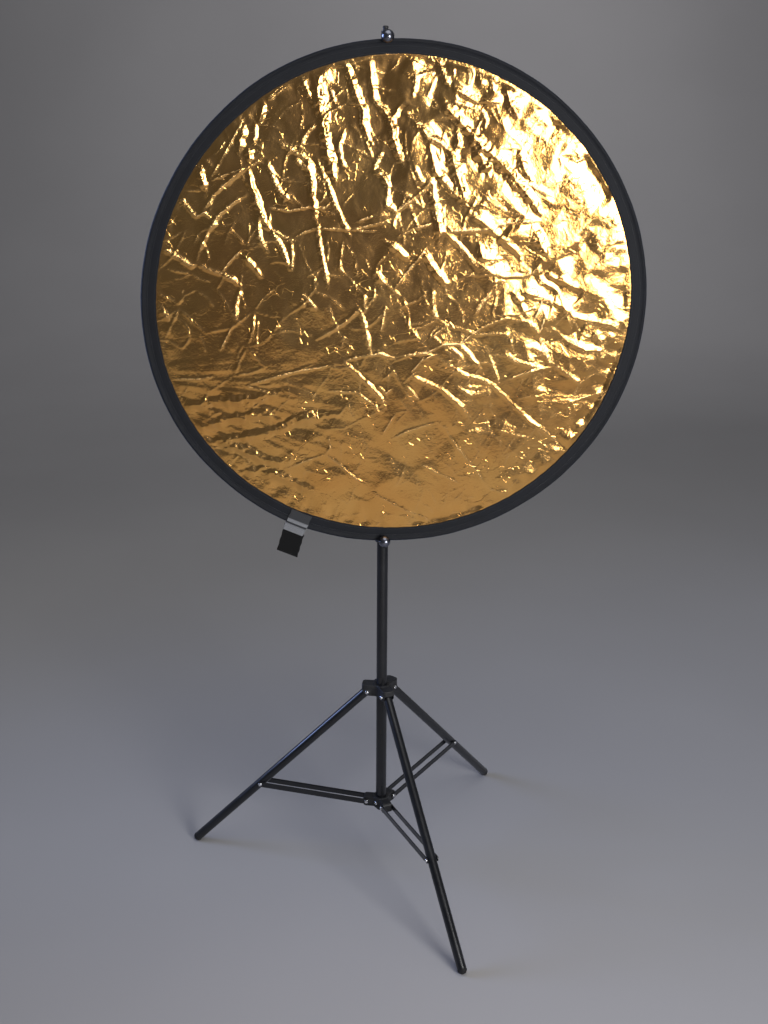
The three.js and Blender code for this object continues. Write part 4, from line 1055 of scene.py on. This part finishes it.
def foil(name, node, slot, cell, front, sign):
    n = int(534 / cell) + 1
    g = np.arange(-n, n + 1) * cell
    X, Z = np.meshgrid(g, g, indexing="ij")
    keep = np.hypot(X, Z) < 535.5
    index = -np.ones(X.shape, int)
    index[keep] = np.arange(keep.sum())
    x, z = X[keep].copy(), Z[keep].copy()
    if cell < 4:
        x, z = snap(x, z, FOLDS + SMALL, cell)
    mark = np.zeros(len(x))
    h = relief(x, z, cell < 4, mark)
    r = np.hypot(x, z)
    flat = 1 - 0.93 * smooth(r, 503, 517)
    flat = flat * (1 - smooth(r, 517, 521))
    h = h * flat
    h = np.clip(h, -7.5, 9.0)
    y = front - h
    q = np.stack([index[:-1, :-1], index[1:, :-1], index[1:, 1:], index[:-1, 1:]], -1).reshape(-1, 4)
    q = q[(q >= 0).all(1)]
    if sign < 0:
        q = q[:, ::-1]
    o = add(name, np.stack([x, y, z], -1), q, slot, "reflector", [node], DISC_M, uv=np.stack([x, z], -1) * MM)
    # crease mark: rougher, bumped film, and a painted highlight colour in the shader
    layer = o.data.attributes.new("crease", "FLOAT", "POINT")
    layer.data.foreach_set("value", np.clip(mark, 0, 1).astype(np.float32))
    return o


gold = foil("gold_foil_face", "gold_front_panel", "gold_foil", 3.1, -0.75, 1)
silver = foil("silver_foil_face", "silver_rear_panel", "silver_foil", 4.4, 0.75, -1)

# Binding: a sleeve round the hoop, drawn in behind it by the stitching, and two lips over the panels.
outer = [(545.4 + 4.6 * math.cos(t), 4.6 * math.sin(t)) for t in np.linspace(-math.radians(118), math.radians(118), 30)]
front_lip = [(540.6, 3.15), (538.2, 2.55), (535.5, 2.35), (532.0, 2.62), (528.0, 2.75), (524.5, 2.6), (522.2, 2.45), (520.6, 2.5), (520.0, 2.15), (520.1, 1.7), (521.0, 1.5)]
inner = [(540.2, 1.5), (541.4, 2.9), (543.0, 3.35), (546.8, 3.3), (548.6, 1.4), (548.6, -1.4), (546.8, -3.3), (543.0, -3.35), (541.4, -2.9), (540.2, -1.5)]
back_lip = [(a, -b) for a, b in front_lip[::-1]]
section = outer + front_lip + inner + back_lip


OUT_OF_ROUND = [0.6, 1.2, 0.4, -0.8, -0.2, 1.9, 4.0, 4.4, 4.8, 3.6, 1.2, -0.6, -3.2, -0.4, 2.2, 1.6, 3.2, 2.7, 1.4, -0.5, -2.4, -1.9, 0.8, 1.0]
LIP_EDGE = [0.8, 0.2, -1.8, -3.2, -2.7, -2.6, -1.5, -2.2, -0.6, -0.8, -1.8, -3.6, -5.4, -5.6, -3.2, -1.9, -1.3, -0.4, -1.4, -3.0, -3.0, -2.6, -1.0, 0.2]


def around(table, T):
    """Smooth value round the rim from a table at every 15 degrees, clockwise from the top seen from the front."""
    u = np.mod(np.asarray(T, float), 2 * math.pi) / math.radians(15)
    i = np.floor(u).astype(int) % 24
    a = u - np.floor(u)
    a = a * a * (3 - 2 * a)
    t = np.array(table)
    return t[i] * (1 - a) + t[(i + 1) % 24] * a


def bent(T, R):
    """Radius on the slightly uneven hoop: the bead follows it, and the lips end where they were sewn."""
    s = np.clip((540 - R) / 20, 0, 1)
    return R + (1 - s) * around(OUT_OF_ROUND, T) + s * around(LIP_EDGE, T)


def binding_wobble(T, R, Z):
    """Small puckers between the stitches and slow waves of the lip."""
    lip = np.clip((542 - R) / 14, 0, 1) * (R > 519)
    face = np.sign(Z)
    slow = np.sin(T * 23 + 1.3 * np.sin(T * 7)) * 0.5 + np.sin(T * 41 + 2 * np.sin(T * 5)) * 0.35
    pucker = np.sin(T * 310 + 4 * np.sin(T * 13)) * 0.5 + 0.5
    z = Z + face * lip * (0.38 * slow + 0.22 * pucker * np.exp(-((R - 535.5) / 4.0) ** 2))
    r = R + np.clip((524 - R) / 4, 0, 1) * (0.5 * slow + 0.25 * np.sin(T * 97))
    bead = np.clip((R - 541) / 5, 0, 1)
    z = z * (1 + 0.0 * bead)
    r = r + bead * (0.10 * np.sin(T * 61 + np.sin(T * 9)) + 0.06 * np.sin(T * 173)) - 0.15 * bead
    return bent(T, r), z


revolve("steel_hoop", [(545.2 + 2.5 * math.cos(t), 2.5 * math.sin(t)) for t in np.linspace(0, 2 * math.pi, 16, endpoint=False)], 480,
        "bright_steel", "reflector", ["spring_steel_hoop"], DISC_M, "Y", lambda T, R, Z: (bent(T, R), Z))
binding = revolve("binding_cloth", section, 900, "black_binding", "reflector", ["edge_binding"], DISC_M, "Y", binding_wobble, None)


def stitches(name, side, radius, depth, count):
    """Two close rows of lock stitches, each a short thread dipping into the cloth at both ends."""
    verts, faces = [], []
    segs, sides = 5, 5
    for row, rr in enumerate((radius, radius - 12.5)):
        lift = 2.5 if row == 0 else 2.62
        for k in range(count):
            a0 = 2 * math.pi * (k + 0.12) / count
            a1 = 2 * math.pi * (k + 0.88) / count
            base = len(verts)
            slow = lambda a: math.sin(a * 23 + 1.3 * math.sin(a * 7)) * 0.5 + math.sin(a * 41 + 2 * math.sin(a * 5)) * 0.35
            for i in range(segs):
                s = i / (segs - 1)
                a = a0 + (a1 - a0) * s
                arch = math.sin(math.pi * s)
                lipw = min(max((542 - rr) / 14, 0), 1)
                t = lift + 0.38 * slow(a) * lipw - 0.15 + 0.42 * arch
                for j in range(sides):
                    b = 2 * math.pi * j / sides
                    w = 0.26 * (0.55 + 0.45 * arch)
                    R = float(bent(a, rr)) + w * math.cos(b)
                    T = side * (t + w * math.sin(b))
                    # revolve about Y: the same turn as the binding's own section
                    verts.append((R * math.sin(a), T, R * math.cos(a)))
            for i in range(segs - 1):
                for j in range(sides):
                    p, q = base + i * sides + j, base + i * sides + (j + 1) % sides
                    faces.append([p, q, q + sides, p + sides])
            faces.append([base + j for j in range(sides)][::-1])
            faces.append([base + (segs - 1) * sides + j for j in range(sides)])
    o = add(name, verts, faces, "black_binding", "reflector", (), DISC_M, mat="thread")
    tidy(o)
    return o


stitches("binding_stitches_front", -1, 535.5, 2.4, 760)
stitches("binding_stitches_back", 1, 535.5, 2.4, 760)


# ------------------------------------------------------------------ strap and tag
def slab(name, path, normal, width, thick, slot, body, nodes, matrix, cross=14, curl=None, ripple=0.0, rows=None):
    """Band of cloth: a centre line in the (y, z) plane swept along x, with thickness and rounded selvedges."""
    path = np.array(path, float)
    d = np.gradient(path, axis=0)
    d /= np.linalg.norm(d, axis=1)[:, None]
    nrm = np.stack([d[:, 1], -d[:, 0]], -1) * normal
    run = np.r_[0, np.cumsum(np.linalg.norm(np.diff(path, axis=0), axis=1))]
    xs = np.linspace(-1, 1, cross)
    top, bottom = [], []
    for x in xs:
        t = thick / 2 * (1 - 0.75 * max(0, (abs(x) - 0.9) / 0.1) ** 2)
        wave = ripple * np.sin(run / 5.2 + x * 2.1) * (0.4 + 0.6 * abs(x))
        off = (curl(x, run) if curl is not None else 0.0) + wave
        edge = x * width / 2 + 0.5 * np.sin(run / 3.1 + x) * (abs(x) > 0.95)
        top.append(np.stack([np.full(len(path), edge) if np.isscalar(edge) else edge, path[:, 0] + nrm[:, 0] * (off + t), path[:, 1] + nrm[:, 1] * (off + t)], -1))
        bottom.append(np.stack([np.full(len(path), edge) if np.isscalar(edge) else edge, path[:, 0] + nrm[:, 0] * (off - t), path[:, 1] + nrm[:, 1] * (off - t)], -1))
    loop = np.array(top + bottom[::-1])                 # (2*cross, steps, 3)
    rows_, cols_ = loop.shape[0], loop.shape[1]
    faces = ring_faces(rows_, cols_, True, False).tolist()
    faces.append([i * cols_ for i in range(rows_)])
    faces.append([i * cols_ + cols_ - 1 for i in range(rows_)][::-1])
    uu = np.r_[xs, xs[::-1]] * width / 2
    uv = np.stack(np.broadcast_arrays(uu[:, None], run[None, :]), -1).reshape(-1, 2) * MM
    o = add(name, loop.reshape(-1, 3), faces, slot, body, nodes, matrix, uv)
    tidy(o, 50)
    return o


STRAP_M = DISC_M @ Matrix.Rotation(rad(TAG_ANGLE), 4, "Y") @ Matrix.Translation((0, 0, -1.6))
SWING = Matrix(((1, 0, -math.tan(rad(7.5)), -math.tan(rad(7.5)) * 553.8), (0, 1, 0, 0), (0, 0, 1, 0), (0, 0, 0, 1)))   # the tag hangs nearer the vertical
TAG_M = STRAP_M @ SWING
# from the front lip, down round the rim, and up the back
down = [(-5.2, -516.5 - 2.2 * k) for k in range(12)]
bend = [(-5.95 * math.cos(t), -545.6 - 7.0 * math.sin(t)) for t in np.linspace(0, math.pi, 22)]
up_ = [(5.2, -540.7 + 2.2 * k) for k in range(12)]
strap_path = down + bend + up_
slab("strap_webbing", strap_path, 1, 50, 1.25, "grey_webbing", "reflector", ["strap_loop"], STRAP_M, 30,
     curl=lambda x, run: 0.18 * math.cos(3 * x) + 0 * run, ripple=0.10)
tag_path = [(0.35 * math.sin(k / 9.0), -554.2 - 2.0 * k) for k in range(31)]
tag_o = slab("tag_cloth", tag_path, 1, 51, 1.5, "black_tag", "reflector", ["strap_tag"], TAG_M, 30,
     curl=lambda x, run: 0.45 * np.sin(run / 16.0 + x) * (run / 50.0), ripple=0.0)


def hang(o, matrix, left, right, end, long):
    """Lowers a hanging piece: its top edge by left and right millimetres at its two corners, its bottom edge by end."""
    m = np.array(matrix)
    inv = np.linalg.inv(m)
    co = np.zeros(len(o.data.vertices) * 3, np.float64)
    o.data.vertices.foreach_get("co", co)
    p = co.reshape(-1, 3) / MM - np.array([POLE[0], POLE[1], 0.0])
    q = p @ inv[:3, :3].T + inv[:3, 3]
    s = np.clip((-554.2 - q[:, 2]) / long, 0, 1)
    top = left + (right - left) * (q[:, 0] + 26) / 52
    q[:, 2] -= (1 - s) * top + s * end
    p = q @ m[:3, :3].T + m[:3, 3]
    co = (p + np.array([POLE[0], POLE[1], 0.0])) * MM
    o.data.vertices.foreach_set("co", co.ravel())
    o.data.update()


# tail of the webbing that the tag is sewn to
tail = slab("strap_tail", [(-1.7 + 0.012 * k, -550.5 - 1.0 * k) for k in range(14)], 1, 50, 1.1, "grey_webbing", "reflector", (), STRAP_M, 30,
            curl=lambda x, run: 0.10 * math.cos(3 * x) + 0 * run, ripple=0.06)
hang(tail, STRAP_M, 0.0, 3.0, 6.0, 9.0)
tail_uv = np.zeros(len(tail.data.loops) * 2, np.float32)
tail.data.uv_layers[0].data.foreach_get("uv", tail_uv)
tail_uv[1::2] += 0.040                     # moves the tail into the webbing's painted highlight band
tail.data.uv_layers[0].data.foreach_set("uv", tail_uv)


def tag_seam(name, inset, matrix):
    """Box of stitches round the tag's border, on both faces."""
    verts, faces = [], []
    w, z0, z1 = 25.5 - inset, -556.8, -611.6
    walk = []
    for a, b in (((-w, z0), (w, z0)), ((w, z0), (w, z1)), ((w, z1), (-w, z1)), ((-w, z1), (-w, z0))):
        n = int(math.hypot(b[0] - a[0], b[1] - a[1]) / 3.0)
        for k in range(n):
            p = [(a[i] + (b[i] - a[i]) * (k + f) / n) for f in (0.12, 0.88) for i in (0, 1)]
            walk.append(p)
    for side in (-1, 1):
        for x0, s0, x1, s1 in walk:
            base = len(verts)
            d = np.array([x1 - x0, s1 - s0])
            d /= np.hypot(*d)
            for i in range(4):
                s = i / 3
                cx, cz = x0 + (x1 - x0) * s, s0 + (s1 - s0) * s
                run = -554.2 - cz
                off = 0.35 * math.sin(run / 18.0) + 0.45 * math.sin(run / 16.0 + cx / 25.5) * (run / 50.0)
                arch = math.sin(math.pi * s)
                for j in range(5):
                    b = 2 * math.pi * j / 5
                    rr = 0.22 * (0.6 + 0.4 * arch)
                    n = rr * math.cos(b)
                    verts.append((cx - d[1] * n, off + side * (0.72 + 0.18 * arch + rr * math.sin(b)), cz + d[0] * n))
            for i in range(3):
                for j in range(5):
                    p, q = base + i * 5 + j, base + i * 5 + (j + 1) % 5
                    faces.append([p, q, q + 5, p + 5])
            faces.append([base + j for j in range(5)][::-1])
            faces.append([base + 15 + j for j in range(5)])
    o = add(name, verts, faces, "black_tag", "reflector", (), matrix, mat="thread")
    tidy(o)
    return o


hang(tag_o, TAG_M, 1.5, 12.0, 9.0, 60.0)
hang(tag_seam("tag_stitches", 2.6, TAG_M), TAG_M, 1.5, 12.0, 9.0, 60.0)


# ------------------------------------------------------------------ stage and light
def area(name, loc, target, size, power, colour=(1, 1, 1), spread=180):
    d = bpy.data.lights.new(name, "AREA")
    d.shape, d.size, d.size_y, d.energy, d.color = "RECTANGLE", size[0], size[1], power, colour
    d.spread = rad(spread)
    o = bpy.data.objects.new(name, d)
    o.location = loc
    o.rotation_mode = "QUATERNION"
    o.rotation_quaternion = (Vector(target) - Vector(loc)).to_track_quat("-Z", "Y")
    bpy.context.scene.collection.objects.link(o)
    return o


# A pale floor that sweeps up into a backdrop far behind the stand.
line = [(-4.3, 0.0), (-2.0, 0.0), (0.0, 0.0), (2.5, 0.0), (5.0, 0.0)]
line += [(5.0 + 3.0 * math.sin(t), 3.0 - 3.0 * math.cos(t)) for t in np.linspace(0.06, math.pi / 2, 24)] + [(8.0, 9.0)]
floor_me = bpy.data.meshes.new("floor")
floor_me.from_pydata([(x, y, z) for y, z in line for x in (-14.0, 14.0)], [], [(2 * i, 2 * i + 1, 2 * i + 3, 2 * i + 2) for i in range(len(line) - 1)])
floor_me.polygons.foreach_set("use_smooth", [True] * len(floor_me.polygons))
floor_me.materials.append(m_floor())
floor = bpy.data.objects.new("floor", floor_me)
bpy.context.scene.collection.objects.link(floor)

area("softbox", (1.78, -3.35, 1.66), (0.1, 0.0, 1.5), (1.25, 1.4), 38, (1.0, 0.995, 0.99), 110)
area("overhead", (0.2, -0.9, 3.9), (-0.1, -0.4, 0.0), (2.4, 2.4), 21, (1.0, 0.99, 0.98))
area("front_floor", (0.15, -3.3, 2.9), (0.0, -3.2, 0.0), (1.6, 1.2), 15, (1.0, 0.96, 0.90), 85)
area("left_fill", (-3.3, 0.9, 1.9), (-0.1, 0.0, 1.5), (1.2, 1.6), 15, (0.38, 0.52, 1.0), 70)
area("backdrop_light", (1.7, 4.6, 3.6), (1.0, 8.0, 2.6), (1.6, 1.2), 34, (1.0, 0.98, 1.0))
sun = bpy.data.lights.new("sky_light", "SUN")
sun.energy, sun.angle, sun.color = 0.22, rad(70), (1.0, 0.99, 1.0)
sun_o = bpy.data.objects.new("sky_light", sun)
sun_o.rotation_euler = (rad(6), rad(12), 0)
bpy.context.scene.collection.objects.link(sun_o)

world = bpy.data.worlds.new("room")
bpy.context.scene.world = world
world.use_nodes = True
world.node_tree.nodes["Background"].inputs[0].default_value = (0.080, 0.082, 0.088, 1.0)
world.node_tree.nodes["Background"].inputs[1].default_value = 1.0
